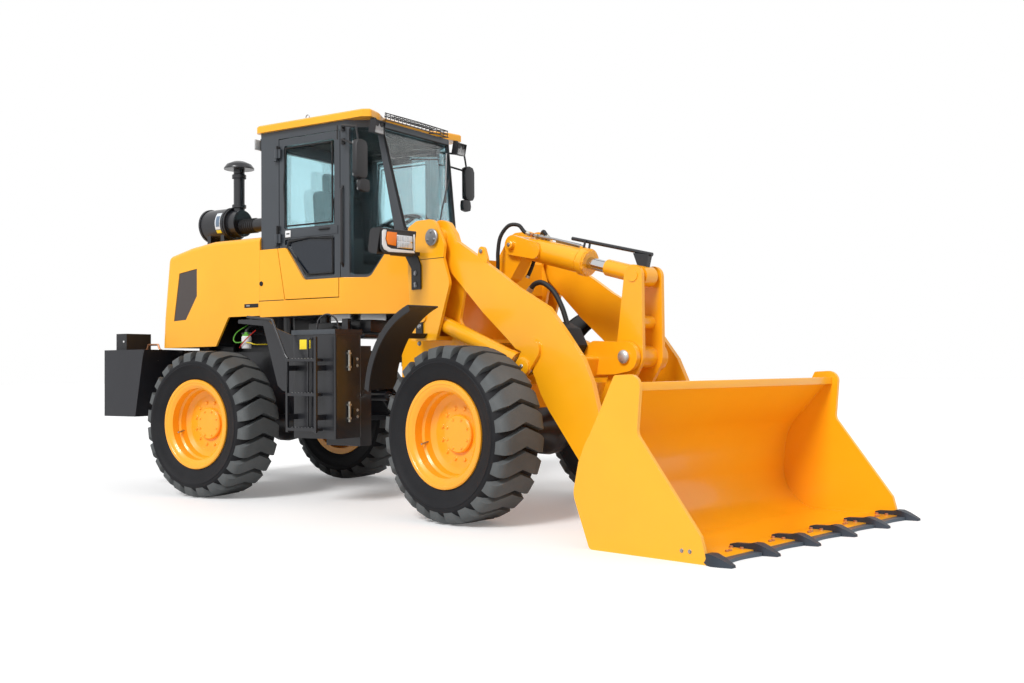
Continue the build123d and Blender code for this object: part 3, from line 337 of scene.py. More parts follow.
MIRROR = plain("mirror_glass", (0.75, 0.78, 0.8), 0.05, 1.0)


# ---- making meshes
SHARP_EDGE = 0.5  # radians between two faces from which their edge is rounded
SIDES = (-1, 1)  # right and left
UP, AHEAD, ACROSS = (0, 0, 1), (1, 0, 0), (0, 1, 0)


class Maker:
    """Gathers the faces of one piece, drawn in millimetres in its half's own frame."""

    def __init__(self, place):
        self.mesh, self.place, self.finishes = bmesh.new(), place, []

    def use(self, finish):
        if finish not in self.finishes:
            self.finishes.append(finish)
        self.index = self.finishes.index(finish)
        return self

    def skin(self, rings, capped=True):
        """Faces between rings of points, with a face over each end if capped."""
        rows = [[self.mesh.verts.new(p) for p in ring] for ring in rings]
        count, made = len(rows[0]), []
        for near, far in zip(rows, rows[1:]):
            for i in range(count):
                j = (i + 1) % count
                made.append(self.mesh.faces.new((near[i], near[j], far[j], far[i])))
        if capped:
            made += [self.mesh.faces.new(rows[0][::-1]), self.mesh.faces.new(rows[-1])]
        for face in made:
            face.material_index, face.smooth = self.index, True
        return made

    def soften(self, faces, width):
        """A small round along the sharper edges of the faces."""
        if width:
            edges = dict.fromkeys(e for f in faces for e in f.edges if e.calc_face_angle(0) > SHARP_EDGE)
            out = bmesh.ops.bevel(self.mesh, geom=list(edges), offset=width, segments=2,
                                  profile=0.6, affect="EDGES", clamp_overlap=True)
            for face in out["faces"]:
                face.material_index, face.smooth = self.index, True

    def prism(self, outline, axis, low, high, soft=2):
        """An outline in the other two axes, from low to high along axis."""
        at = {"x": lambda a, b, c: (c, a, b), "y": lambda a, b, c: (a, c, b),
              "z": lambda a, b, c: (a, b, c)}[axis]
        faces = self.skin([[at(a, b, c) for a, b in outline] for c in (low, high)])
        bmesh.ops.recalc_face_normals(self.mesh, faces=faces)
        self.soften(faces, soft)

    def slab(self, x0, x1, y0, y1, z0, z1, soft=2):
        """A box between two corners."""
        self.prism([(x0, y0), (x1, y0), (x1, y1), (x0, y1)], "z", z0, z1, soft)

    def lathe(self, profile, origin, axis, steps=32, capped=True):
        """(radius, height) pairs turned round an axis through origin."""
        up = Vector(axis).normalized()
        out = up.orthogonal().normalized()
        other = up.cross(out)
        turns = [2 * math.pi * i / steps for i in range(steps)]
        self.skin([[Vector(origin) + up * h + (out * math.cos(t) + other * math.sin(t)) * r
                    for t in turns] for r, h in profile], capped)

    def tube(self, points, r, steps=14):
        """A round bar that follows points."""
        points = [Vector(p) for p in points]
        rings, side = [], None
        for i, p in enumerate(points):
            before, after = points[max(i - 1, 0)], points[min(i + 1, len(points) - 1)]
            ahead = (after - before).normalized()
            side = side - ahead * side.dot(ahead) if side else ahead.orthogonal()
            side.normalize()
            other = ahead.cross(side)
            rings.append([p + (side * math.cos(2 * math.pi * k / steps)
                               + other * math.sin(2 * math.pi * k / steps)) * r for k in range(steps)])
        self.skin(rings)

    def bolt(self, at, axis, size=12, washer=True):
        """Hexagon head with a chamfered top, on a washer."""
        up = Vector(axis).normalized()
        base = Vector(at)
        if washer:
            self.lathe([(size * 1.25, -1), (size * 1.25, size * 0.2), (size * 1.15, size * 0.28)],
                       base, up, 20)
        self.lathe([(size, size * 0.2), (size, size * 0.75), (size * 0.84, size * 0.9)], base, up, 6)

    def done(self, name, body, slot, *replaced, sharp=32, bent=None):
        """The piece as an object on its body; if bent is given, a loose object fixed in the world instead.
        """
        self.mesh.normal_update()
        bmesh.ops.recalc_face_normals(self.mesh, faces=self.mesh.faces[:])
        data = bpy.data.meshes.new(name)
        self.mesh.transform(self.place)
        if self.place.determinant() < 0:
            bmesh.ops.reverse_faces(self.mesh, faces=self.mesh.faces[:])
        self.mesh.to_mesh(data)
        self.mesh.free()
        data.set_sharp_from_angle(angle=math.radians(sharp))
        made = bpy.data.objects.new(name, data)
        bpy.context.scene.collection.objects.link(made)
        for finish in self.finishes:
            data.materials.append(finish.material)
        if bent:
            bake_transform(made)
        else:
            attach(made, body)
        if replaced:
            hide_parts(*replaced)
        return made


def sided(side, points):
    """The points of one side, given as if on the left."""
    return [(x, side * y, z) for x, y, z in points]


ARC_STEPS = 6


def rounded(points, bend):
    """The points with each inner corner turned into an arc of radius bend."""
    points = [Vector(p) for p in points]
    path = [points[0]]
    for a, b, c in zip(points, points[1:], points[2:]):
        u, v = (a - b).normalized(), (c - b).normalized()
        half = u.angle(v) / 2
        reach = bend / math.tan(half)
        centre = b + (u + v).normalized() * bend / math.sin(half)
        start, end = b + u * reach - centre, b + v * reach - centre
        path += [centre + start.slerp(end, i / ARC_STEPS) for i in range(ARC_STEPS + 1)]
    return path + [points[-1]]


def curve(points, steps=6):
    """Points of a smooth curve through the given ones."""
    points = [Vector(p) for p in points]
    ends = [2 * points[0] - points[1]] + points + [2 * points[-1] - points[-2]]
    path = []
    for a, b, c, d in zip(ends, ends[1:], ends[2:], ends[3:]):
        for i in range(steps):
            t = i / steps
            path.append(0.5 * (2 * b + (c - a) * t + (2 * a - 5 * b + 4 * c - d) * t ** 2
                               + (3 * b - a - 3 * c + d) * t ** 3))
    return path + [points[-1]]


# ---- the CAD nodes' own finishes
EDGE_ROUND = 0.003
MERGE = 0.00005  # points of the CAD mesh nearer than this are one
EDGE_ANGLE = math.radians(38)


def dress(node, finish, edge):
    """A CAD node's material, and a small round of radius edge along its edges."""
    data = NODES[node].data
    data.materials.clear()
    data.materials.append(finish.material)
    for face in data.polygons:
        face.material_index = 0
    if edge:
        weld = NODES[node].modifiers.new("weld", "WELD")
        weld.merge_threshold = MERGE
        bevel = NODES[node].modifiers.new("bevel", "BEVEL")
        bevel.width, bevel.segments, bevel.limit_method = edge, 2, "ANGLE"
        bevel.angle_limit, bevel.miter_outer = EDGE_ANGLE, "MITER_ARC"
        bevel.use_clamp_overlap = True
        NODES[node].modifiers.new("normals", "WEIGHTED_NORMAL").keep_sharp = False


DRESSED = {
    PAINT: ("hood cab_roof cab_cladding door_panel_left door_panel_right front_frame boom "
            "lift_barrels tilt_barrel lever tilt_link bucket"),
    RIM_PAINT: "rim_rear_right rim_rear_left rim_front_right rim_front_left",
    DARK: ("rear_frame rear_axle front_axle engine_block side_boxes steps rails_and_mirrors "
           "air_cleaner rear_gate steer_barrel_left steer_barrel_right level_bar bucket_teeth"),
    TAIL: "counterweight",
    CAB: "cab_shell door_frame_left door_frame_right",
    PLASTIC: "lamps headlamps front_fenders driver_controls",
    CLOTH: "seat",
    GRID: "hood_grilles",
    CHROME: "lift_rods tilt_rod steer_ram_left steer_ram_right",
    GLASS: "cab_glass door_glass_left door_glass_right",
    RUBBER: "tyre_front_left tyre_front_right tyre_rear_left tyre_rear_right",
}
for finish, names in DRESSED.items():
    for node in names.split():
        dress(node, finish, 0 if finish in (GLASS, RUBBER) else EDGE_ROUND)


def recolour(node, finish, picks):
    """Another material on the faces of a CAD node whose middle picks says yes to."""
    item = NODES[node]
    item.data.materials.append(finish.material)
    for face in item.data.polygons:
        if picks(item.matrix_world @ face.center):
            face.material_index = 1


BARE_END = FRONT @ Vector((1963, 0, 1691))  # where the tilt rod's bare part ends
ROD_WAY = (FRONT.to_3x3() @ Vector((1100, 0, -288))).normalized()
PANE_SPLIT = 2.06  # height between a door's two panes
recolour("tilt_rod", PAINT, lambda at: (at - BARE_END).dot(ROD_WAY) > 0)
for hand in ("left", "right"):
    recolour(f"door_glass_{hand}", DARK_GLASS, lambda at: at.z < PANE_SPLIT)


# ---- wheels
WHEELS = {"rear_right": (REAR, 0, -1), "rear_left": (REAR, 0, 1),
          "front_right": (FRONT, PIVOT_X, -1), "front_left": (FRONT, PIVOT_X, 1)}
LUGS = 24
LUG_LEAD = 0.125  # radians that the chevron's point runs ahead
LUG_HALF = 58  # half the lug's length round the tyre
LUG_FLARE = 8  # how much wider its root is
TYRE_HALF = 200  # half the tyre's width
SHOULDER, SLIMMING = 0.6, 0.3  # share of the half width where lugs narrow, and by how much
TREAD = [(0, 582, 540), (60, 582, 540), (120, 581, 538), (150, 578, 533), (172, 569, 522),
         (186, 553, 508), (195, 530, 494), (200, 508, 484)]  # across, lug top, lug root


def wheel_place(name):
    """The frame at a wheel's hub, with y outward."""
    place, x, side = WHEELS[name]
    return place @ Matrix.Translation((x, side * HALF_TRACK, TYRE_R)) @ Matrix.Scale(side, 4, ACROSS)


WALL = [(322, 154), (352, 163), (357, 170), (366, 177), (378, 180), (385, 184), (420, 196),
        (460, 204), (464, 208), (470, 209), (474, 205), (486, 205), (497, 203), (502, 198),
        (509, 193), (524, 176), (536, 155), (542, 120), (543, 60)]  # radius, across


def lugged_tyre(name):
    """A tyre's carcass, with chevron lugs that narrow towards the shoulders."""
    made = Maker(wheel_place(name)).use(RUBBER)
    made.lathe(WALL + [(r, -y) for r, y in reversed(WALL)], (0, 0, 0), ACROSS, 96, capped=False)
    across = [(-y, top, root) for y, top, root in reversed(TREAD[1:])] + TREAD
    made.use(LUG)
    for i in range(LUGS):
        start, rings = 2 * math.pi * i / LUGS, []
        for y, top, root in across:
            share = abs(y) / TYRE_HALF
            mid = start - LUG_LEAD * share
            slim = 1 - SLIMMING * max(0, share - SHOULDER) / (1 - SHOULDER)
            ring = []
            for r, half in ((top, LUG_HALF * slim), (root, LUG_HALF * slim + LUG_FLARE)):
                for way in ((-1, 1) if r == top else (1, -1)):
                    turn = mid + way * half / TYRE_R
                    ring.append((r * math.cos(turn), y, r * math.sin(turn)))
            rings.append(ring)
        made.soften(made.skin(rings), 4)
    made.done(f"lugged_tyre_{name}", f"wheel_{name}", "tyre", f"tyre_{name}", sharp=40)


def rim_hardware(name):
    """Wheel nuts on the hub flange, cover bolts inside them, the lock ring and the valve."""
    made = Maker(wheel_place(name)).use(RIM_PAINT)
    for count, radius, face, size in ((12, 170, 14, 13), (8, 100, 44, 9)):
        for i in range(count):
            turn = 2 * math.pi * (i + 0.5) / count
            made.bolt((radius * math.cos(turn), face, radius * math.sin(turn)), ACROSS, size)
    made.lathe([(349, 180.5), (346, 184), (330, 184), (326, 180.5)], (0, 0, 0), ACROSS, 96,
               capped=False)
    made.use(STEEL).tube([(-262, 60, -60), (-255, 110, -70), (-250, 130, -72)], 6)
    made.done(f"rim_hardware_{name}", f"wheel_{name}", "paint")


for wheel in WHEELS:
    lugged_tyre(wheel)
    rim_hardware(wheel)


# ---- hood and tail
def hood_trim():
    """Seams, plugs and latches on the hood's sides."""
    made = Maker(REAR)
    for side in SIDES:
        made.use(SEAL).slab(290, 565, side * 620.8, side * 619, 1560, 1566, 0)
        made.slab(126, 285, side * 621.5, side * 619, 1513, 1545, 1)
        made.lathe([(19, -2), (19, 4), (15, 6), (12, 2)], (319, side * 620, 1703), (0, side, 0), 20)
        made.use(STEEL).slab(150, 190, side * 624, side * 621, 1524, 1536, 1)
    made.done("hood_trim", "chassis", "dark_paint")


def tail_fittings():
    """Handles on the counterweight, the tail lamps' lenses, and their cables."""
    made = Maker(REAR)
    for side in SIDES:
        handle = sided(side, [(-1070, 625, 1180), (-1070, 625, 1256), (-895, 625, 1256), (-895, 625, 1180)])
        made.use(COPPER).tube(rounded(handle, 26), 9)
        for x in (-1070, -895):
            made.lathe([(18, 0), (18, 5), (12, 8)], (x, side * 625, 1185), UP, 16)
        for finish, near, far in ((RED, 565, 690), (ORANGE, 696, 738), (WHITE, 744, 776)):
            made.use(finish).slab(-1228, -1222, side * near, side * far, 1215, 1300, 3)
        made.lathe([(9, 0), (9, 4), (6, 6)], (-1150, side * 800, 1258), (0, side, 0), 16)
        cable = sided(side, [(-820, 700, 1185), (-800, 720, 1200), (-790, 735, 1150), (-795, 735, 1090)])
        made.use(ZINC).tube(rounded(cable, 10), 7, 8)
    made.done("tail_fittings", "chassis", "dark_paint")


def air_cleaner_trim():
    """End cover, bands, ribbed hose, blank label and bolts of the air cleaner."""
    made = Maker(REAR).use(DARK)
    y, z = -280, 2268  # the air cleaner's axis
    made.lathe([(60, -652), (118, -650), (132, -644), (147, -636), (147, -618), (140, -616)],
               (0, y, z), AHEAD, 48)
    made.lathe([(139, -372), (145, -370), (145, -350), (139, -348)], (0, y, z), AHEAD, 48, capped=False)
    made.use(SEAL)
    for x in range(-236, -90, 24):
        made.lathe([(58, x), (64, x + 4), (64, x + 12), (58, x + 16)], (0, y, 2240), AHEAD, 32,
                   capped=False)
    for finish, low, high, x0, x1 in ((LABEL, -22, 40, -440, -380), (BAND, -12, 26, -428, -386),
                                      (AMBER, -36, -24, -436, -380)):
        r = 141.5 if finish is BAND else 140.5
        rings = []
        for i in range(9):
            turn = math.radians(low + (high - low) * i / 8)
            out, up = y - r * math.cos(turn), z + r * math.sin(turn)
            rings.append([(x0, out, up), (x1, out, up), (x1, out + 3, up), (x0, out + 3, up)])
        made.use(finish).skin(rings)
    made.use(ZINC)
    for x, foot in ((-555, 2100), (-391, 2110)):
        for out in (-365, -195):
            made.bolt((x, out, foot), UP, 10)
    made.use(DARK).lathe([(52, 0), (60, 4), (60, 30), (52, 34)], (-290, y, 2400), UP, 32, capped=False)
    made.lathe([(60, -30), (60, 0), (47, 8)], (-290, y, 2690), UP, 32, capped=False)
    made.done("air_cleaner_trim", "chassis", "dark_paint")


def water_separator():
    """White filter bowl under the hood, with its pipes and wires."""
    made = Maker(REAR).use(WHITE)
    centre = (128, -600, 1180)
    made.lathe([(30, 0), (38, 4), (40, 12), (40, 96), (34, 104)], centre, UP, 32)
    made.use(GREEN).lathe([(34, 104), (34, 116), (16, 120), (16, 136)], centre, UP, 24)
    made.use(DARK).slab(70, 186, -600, -360, 1300, 1312)
    made.tube([(128, -600, 1300), (128, -600, 1330), (128, -560, 1360), (128, -420, 1370)], 12)
    wires = ((GREEN, [(128, -640, 1236), (60, -650, 1232), (10, -630, 1262), (0, -580, 1320),
                      (20, -480, 1380)]),
             (RED, [(96, -646, 1188), (130, -652, 1220), (170, -640, 1262), (190, -560, 1330)]),
             (AMBER, [(160, -630, 1230), (200, -625, 1226), (230, -600, 1214), (240, -480, 1216)]))
    for finish, path in wires:
        made.use(finish).tube(curve(path), 4.5, 8)
    made.done("water_separator", "chassis", "plastic")


# ---- cab
def headliner_and_painted_shade():
    """Dark lining under the roof and a dark strip along the top of the rear wall, both dark partly as
    painted shade of the cab's upper inside.
    """
    made = Maker(REAR).use(SEAL)
    # near-black lining under the roof: partly a real lining, partly painted shade of the cab's upper inside
    made.prism([(344, -556), (1195, -556), (1368, -440), (1368, 440), (1195, 556), (344, 556)],
               "z", 2893, 2920, 4)
    # dark strip along the top of the rear wall, partly painted shade as well
    made.use(CAB).slab(342, 356, -556, 556, 2815, 2893, 3)
    made.done("headliner_and_painted_shade", "chassis", "plastic")


def roof_rack():
    """Wire guard in the roof's front notch, and two lifting rings."""
    made = Maker(REAR).use(DARK)
    low, high = 2932, 2984
    for z, x in ((low, 1440), ((low + high) / 2, 1438), (high, 1436)):
        made.tube([(1335, -285, z), (x, -410, z), (x + 12, 0, z), (x, 410, z), (1335, 285, z)], 4.5, 8)
    for i in range(17):
        y = -400 + 50 * i
        made.tube([(1440, y, low), (1440, y, high)], 3, 6)
        if abs(y) < 290:
            made.tube([(1438, y, high), (1334, y, high + 2)], 3, 6)
    for x in (1360, 1400):
        made.tube([(x, -300 - (x - 1335), high), (x, 300 + (x - 1335), high)], 3, 6)
    turns = [2 * math.pi * i / 24 for i in range(25)]
    for side in SIDES:
        made.use(STEEL).tube([(800 + 18 * math.cos(t), side * 590, 2998 + 18 * math.sin(t))
                              for t in turns], 4, 8)
    made.done("roof_rack", "chassis", "dark_paint")


UPPER = [(552, 2130), (1085, 2130), (1085, 2795), (552, 2795)]  # a door's panes
LOWER = [(560, 2045), (605, 1995), (790, 1735), (1085, 1735), (1085, 2045)]


def door_trim(side):
    """Handle, lock plate, hinge bolts and the pane's seals of one door."""
    word = "right" if side < 0 else "left"
    made = Maker(REAR).use(CAB)
    made.slab(505, 1120, side * 606, side * 600, 2056, 2120, 3)
    made.use(WHITE).slab(575, 632, side * 613, side * 605, 2060, 2114, 5)
    made.use(SEAL).slab(590, 622, side * 615, side * 611, 2082, 2092, 1)
    for z in (2060, 2700):
        made.slab(478, 512, side * 612, side * 598, z, z + 96, 4)
        made.lathe([(9, -2), (9, 100)], (495, side * 618, z - 2), UP, 12)
    pull = sided(side, [(930, 604, 2102), (930, 636, 2102), (1040, 636, 2102), (1040, 604, 2102)])
    made.use(PLASTIC).tube(rounded(pull, 18), 9, 10)
    made.use(ZINC)
    for z in (2076, 2138, 2716, 2780):
        made.bolt((486, side * 611, z), (0, side, 0), 6, False)
    made.use(SEAL)
    for outline in (UPPER, LOWER):
        ring = [(x, side * 600, z) for x, z in outline]
        start = Vector(ring[0]).lerp(Vector(ring[-1]), 0.5)
        made.tube(rounded([start] + ring + [start], 22), 7, 8)
    made.done(f"door_trim_{word}", f"door_{word}", "plastic")


SCREEN_FOOT, SCREEN_HEAD = (1677, 1470), (1411, 2924)  # the windscreen's slope, x and z


def on_screen(y, z, out=4):
    """A point of the windscreen's plane, out in front of it."""
    share = (z - SCREEN_FOOT[1]) / (SCREEN_HEAD[1] - SCREEN_FOOT[1])
    return (SCREEN_FOOT[0] + (SCREEN_HEAD[0] - SCREEN_FOOT[0]) * share + out, y, z)


def screen_trim():
    """Gaskets round the windscreen, and the wiper with its motor's cover."""
    made = Maker(REAR).use(SEAL)
    for side in SIDES:
        made.tube([on_screen(side * 318, 2010), on_screen(side * 428, 2870)], 8, 8)
    made.tube([on_screen(-312, 2012), on_screen(312, 2012)], 7, 8)
    made.tube([on_screen(-425, 2870), on_screen(425, 2870)], 7, 8)
    made.use(DARK).slab(1538, 1590, -60, 60, 1962, 2010, 5)
    made.tube([on_screen(20, 2000, 22), on_screen(170, 2300, 26), on_screen(330, 2560, 22)], 6, 8)
    made.tube([on_screen(250, 2360, 12), on_screen(375, 2790, 12)], 8, 8)
    made.done("screen_trim", "chassis", "plastic")


def lamp_glass():
    """White backs and clear lenses of the work lamps."""
    made = Maker(REAR)
    for side in SIDES:
        for x0, y0, z0 in ((1478, 486, 2798), (224, 494, 2806)):
            made.use(WHITE).slab(x0 - 10, x0 - 4, side * y0, side * (y0 + 100), z0, z0 + 84)
            made.use(LENS).slab(x0, x0 + 6, side * y0, side * (y0 + 100), z0, z0 + 84, 3)
    made.done("lamp_glass", "chassis", "plastic")


SMALL_MIRROR = ((8, 8), (60, 0), (112, 12), (122, 50), (112, 96), (60, 104), (8, 96), (0, 50))
LARGE_MIRROR = ((10, 10), (60, 0), (110, 6), (132, 40), (132, 250), (112, 288), (60, 296), (14, 284),
                (0, 250), (0, 44))


def rails_and_mirrors():
    """Handrails beside the steps and doors, and mirrors hung on looped brackets."""
    made = Maker(REAR)
    out = 1044
    for side in SIDES:
        hand = sided(side, [(600, out, 1412), (876, out, 1412), (1018, out, 1130), (1018, out, 1090)])
        made.use(DARK).tube(rounded(hand, 30), 11, 12)
        made.tube([(640, side * out, 1400), (640, side * 920, 1400)], 10, 12)
        grab = sided(side, [(1172, 598, 1800), (1172, 650, 1800), (1172, 650, 2420), (1172, 598, 2420)])
        made.tube(rounded(grab, 30), 10, 12)
        made.use(PLASTIC)
        for z in (2760, 2862):
            made.slab(1166, 1196, side * 598, side * 618, z - 22, z + 22, 3)
            loop = sided(side, [(1180, 608, z), (1196, 700, z + 6), (1430, 706, z + 8 - (2862 - z) * 0.4),
                                (1438, 706, 2600)])
            made.tube(rounded(loop, 36), 8, 10)
        made.tube([(1196, side * 690, 2760), (1196, side * 690, 2868)], 7, 8)
        for shell, y, z, back, front, soft in ((LARGE_MIRROR, 640, 2436, 1412, 1458, 12),
                                               (SMALL_MIRROR, 606, 2338, 1416, 1452, 10)):
            made.prism([(side * (y + dy), z + dz) for dy, dz in shell], "x", back, front, soft)
        made.use(MIRROR).slab(1408, 1413, side * 652, side * 760, 2452, 2716, 8)
        made.slab(1412, 1417, side * 620, side * 716, 2352, 2424, 6)
    made.done("rails_and_mirrors_dressed", "chassis", "dark_paint", "rails_and_mirrors")


# ---- seat
SEAT_PADS = {  # corners, lean in degrees, place, size of the mesh's cells in metres
    "seat_cushion": ((575, -225, 1868), (1030, 225, 1952), 0, (0, 0, 0), 0.012),
    "seat_back": ((0, -215, 0), (92, 215, 500), -6.5, (590, 0, 1962), 0.012),
    "seat_headrest": ((0, -115, 0), (62, 115, 128), -5, (540, 0, 2504), 0.008),
}
PRESSURE = 4
CLOTH_FRAMES = 20
PUFF = 0.012  # the furthest that a point may move, in metres


def seat_pad(name):
    """A cushion grown by a cloth simulation from a slightly smaller rounded block."""
    (x0, y0, z0), (x1, y1, z1), lean, place, cell = SEAT_PADS[name]
    made = Maker(REAR @ Matrix.Translation(place) @ Matrix.Rotation(math.radians(lean), 4, "Y"))
    made.use(CLOTH).slab(x0, x1, y0, y1, z0, z1, 22)
    pad = made.done(name, "chassis", "fabric")
    rest = pad.modifiers.new("remesh", "REMESH")
    rest.mode, rest.voxel_size = "VOXEL", cell
    settle(pad)


def settle(pad):
    """Applies the modifiers, blows the pad up under pressure, and caps each point's move."""
    graph = bpy.context.evaluated_depsgraph_get()
    mesh = bpy.data.meshes.new_from_object(pad.evaluated_get(graph))
    pad.modifiers.clear()
    pad.data = mesh
    start = [v.co.copy() for v in mesh.vertices]
    cloth = pad.modifiers.new("cloth", "CLOTH")
    cloth.settings.use_pressure, cloth.settings.uniform_pressure_force = True, PRESSURE
    cloth.settings.effector_weights.gravity = 0
    for step in range(1, CLOTH_FRAMES + 1):
        bpy.context.scene.frame_set(step)
    graph = bpy.context.evaluated_depsgraph_get()
    moved = [v.co.copy() for v in pad.evaluated_get(graph).data.vertices]
    pad.modifiers.clear()
    for vertex, a, b in zip(mesh.vertices, start, moved):
        step = b - a
        vertex.co = a + step * min(1, PUFF / max(step.length, 1e-9))
    bpy.context.scene.frame_set(1)
    for face in mesh.polygons:
        face.use_smooth = True
    mesh.update()
    fine = pad.modifiers.new("fine", "SUBSURF")
    fine.levels = fine.render_levels = 1


# ---- boxes and steps
def box_trim():
    """Lids' edges, blank labels, pipes and hinges of the side boxes, and studs on the steps."""
    made = Maker(REAR)
    for side in SIDES:
        made.use(CAB).slab(972, 1404, side * 952, side * 958, 1268, 1302)
        made.use(AMBER).slab(1050, 1120, side * 952.5, side * 950, 1160, 1232, 1)
        made.slab(1136, 1160, side * 952.5, side * 950, 1165, 1228, 1)
        pipe = sided(side, [(1150, 975, 560), (1150, 978, 1238), (1176, 978, 1238), (1176, 952, 1238)])
        made.use(DARK).tube(rounded(pipe, 12), 8, 8)
        for low in (620, 1000):
            made.use(ZINC).tube([(1412, side * 811, low), (1412, side * 811, low + 150)], 10, 12)
            for z in (low + 20, low + 120):
                made.slab(1398, 1424, side * 798, side * 824, z, z + 14)
            made.use(DARK).slab(1400, 1408, side * 700, side * 762, low + 20, low + 100, 3)
            made.use(ZINC)
            for z in (low + 36, low + 84):
                made.bolt((1407, side * 716, z), AHEAD, 9)
        hose = sided(side, [(1180, 905, 1300), (1195, 900, 1380), (1260, 880, 1418), (1330, 860, 1380),
                            (1345, 850, 1300)])
        made.use(DARK).tube(curve(hose), 7, 8)
        made.use(STEEL)
        for z in (560, 815, 1068):
            for x in range(1040, 1300, 32):
                made.lathe([(5, 0), (5, 3), (3, 4.5)], (x, side * 1020, z + 22), UP, 8)
    made.done("box_trim", "chassis", "dark_paint")


# ---- front half
LIFT_PIN = (875, 1940)  # the arms' upper pin, x and z


def tower_trim():
    """Pin covers, seams and bolts on the front towers."""
    made = Maker(FRONT)
    x0, z0 = LIFT_PIN
    for side in SIDES:
        made.use(SEAL).slab(642, 985, side * 610.8, side * 609, 1788, 1792.5, 0)
        made.use(STEEL).lathe([(60, 0), (60, 10), (54, 14), (20, 15)], (x0, side * 622, z0),
                              (0, side, 0), 40)
        for i in range(3):
            turn = math.radians(90 + 120 * i)
            made.bolt((x0 + 38 * math.cos(turn), side * 636, z0 + 38 * math.sin(turn)), (0, side, 0), 10)
        for x, y, z, size in ((742, 624, 1190, 14), (742, 624, 1310, 14), (700, 622, 1604, 11),
                              (700, 622, 1700, 11)):
            made.bolt((x, side * y, z), (0, side, 0), size)
    made.done("tower_trim", "front_half", "paint")


def fender_trim():
    """Bolts along the front mudguards."""
    made = Maker(FRONT).use(ZINC)
    for side in SIDES:
        for x, z in ((1000, 1408), (900, 1352), (815, 1275), (742, 1170), (690, 1060), (660, 960)):
            out = Vector((x - PIVOT_X, 0, z - TYRE_R)).normalized()
            made.bolt((x, side * 1000, z + 2), out, 7)
    made.done("fender_trim", "front_half", "plastic")


LAMP_CASE = ((752, 1822), (772, 1806), (1040, 1802), (1068, 1830), (1068, 1950), (1044, 1974),
             (764, 1970), (752, 1950))
LAMP_FRAME = ((1058, 1948), (1046, 1962), (1020, 1962), (1032, 1900), (1016, 1850), (980, 1836),
              (770, 1834), (764, 1818), (1000, 1812), (1040, 1826), (1058, 1860))
INDICATOR = ((1014, 1950), (1024, 1900), (1008, 1862), (940, 1856), (930, 1950))


def headlamp_faces():
    """White frame, indicator, reflector and small lenses of the headlamps, and two tower bolts."""
    made = Maker(FRONT)
    for side in SIDES:
        for finish, shape, back, front, soft in ((PLASTIC, LAMP_CASE, 836, 846, 3),
                                                 (WHITE, LAMP_FRAME, 842, 853, 2)):
            made.use(finish).prism([(side * y, z) for y, z in shape], "x", back, front, soft)
        made.slab(842, 853, side * 762, side * 772, 1836, 1950)
        made.use(ORANGE).prism([(side * y, z) for y, z in INDICATOR], "x", 844, 858, 4)
        made.use(CHROME).slab(843, 848, side * 782, side * 924, 1846, 1936)
        made.use(LENS)
        for y in (788, 834, 880):
            for z in (1850, 1894):
                made.slab(846, 858, side * y, side * (y + 38), z, z + 36, 5)
        made.use(STEEL)
        for z in (1620, 1690):
            made.bolt((700, side * 625, z), (0, side, 0), 10)
    made.done("headlamp_faces", "front_half", "plastic")


def under_cab():
    """Valve block, brackets and hoses below the cab's floor."""
    made = Maker(REAR).use(DARK)
    made.slab(690, 1000, -470, 470, 1262, 1378, 6)
    made.slab(1030, 1300, -430, 430, 1296, 1392, 6)
    made.slab(1120, 1180, -560, -520, 1200, 1400, 3)
    made.slab(1240, 1330, -540, 540, 1250, 1275, 3)
    made.use(HOSE)
    for k, y in enumerate((-500, -470, -430)):
        made.tube(curve([(980, y, 1330), (1020, y - 24, 1350 + 8 * k), (1090, y - 30, 1330),
                         (1160, y - 20, 1292 - 10 * k), (1230, y, 1270)]), 12, 10)
    for y in (470, 500):
        made.tube(curve([(980, y, 1330), (1020, y + 24, 1350), (1090, y + 30, 1330), (1230, y, 1270)]),
                  12, 10)
    made.done("under_cab", "chassis", "dark_paint")


# ---- arms and linkage
TILT_BASE = Vector((1165, 0, 1900))
TILT_AXIS = (Vector((2265, 0, 1612)) - TILT_BASE).normalized()
TILT_UP = Vector((-TILT_AXIS.z, 0, TILT_AXIS.x))


def on_tilt(reach, rise, y=0):
    """A point along the tilt cylinder, above its axis and off to one side."""
    return TILT_BASE + TILT_AXIS * reach + TILT_UP * rise + Vector((0, y, 0))


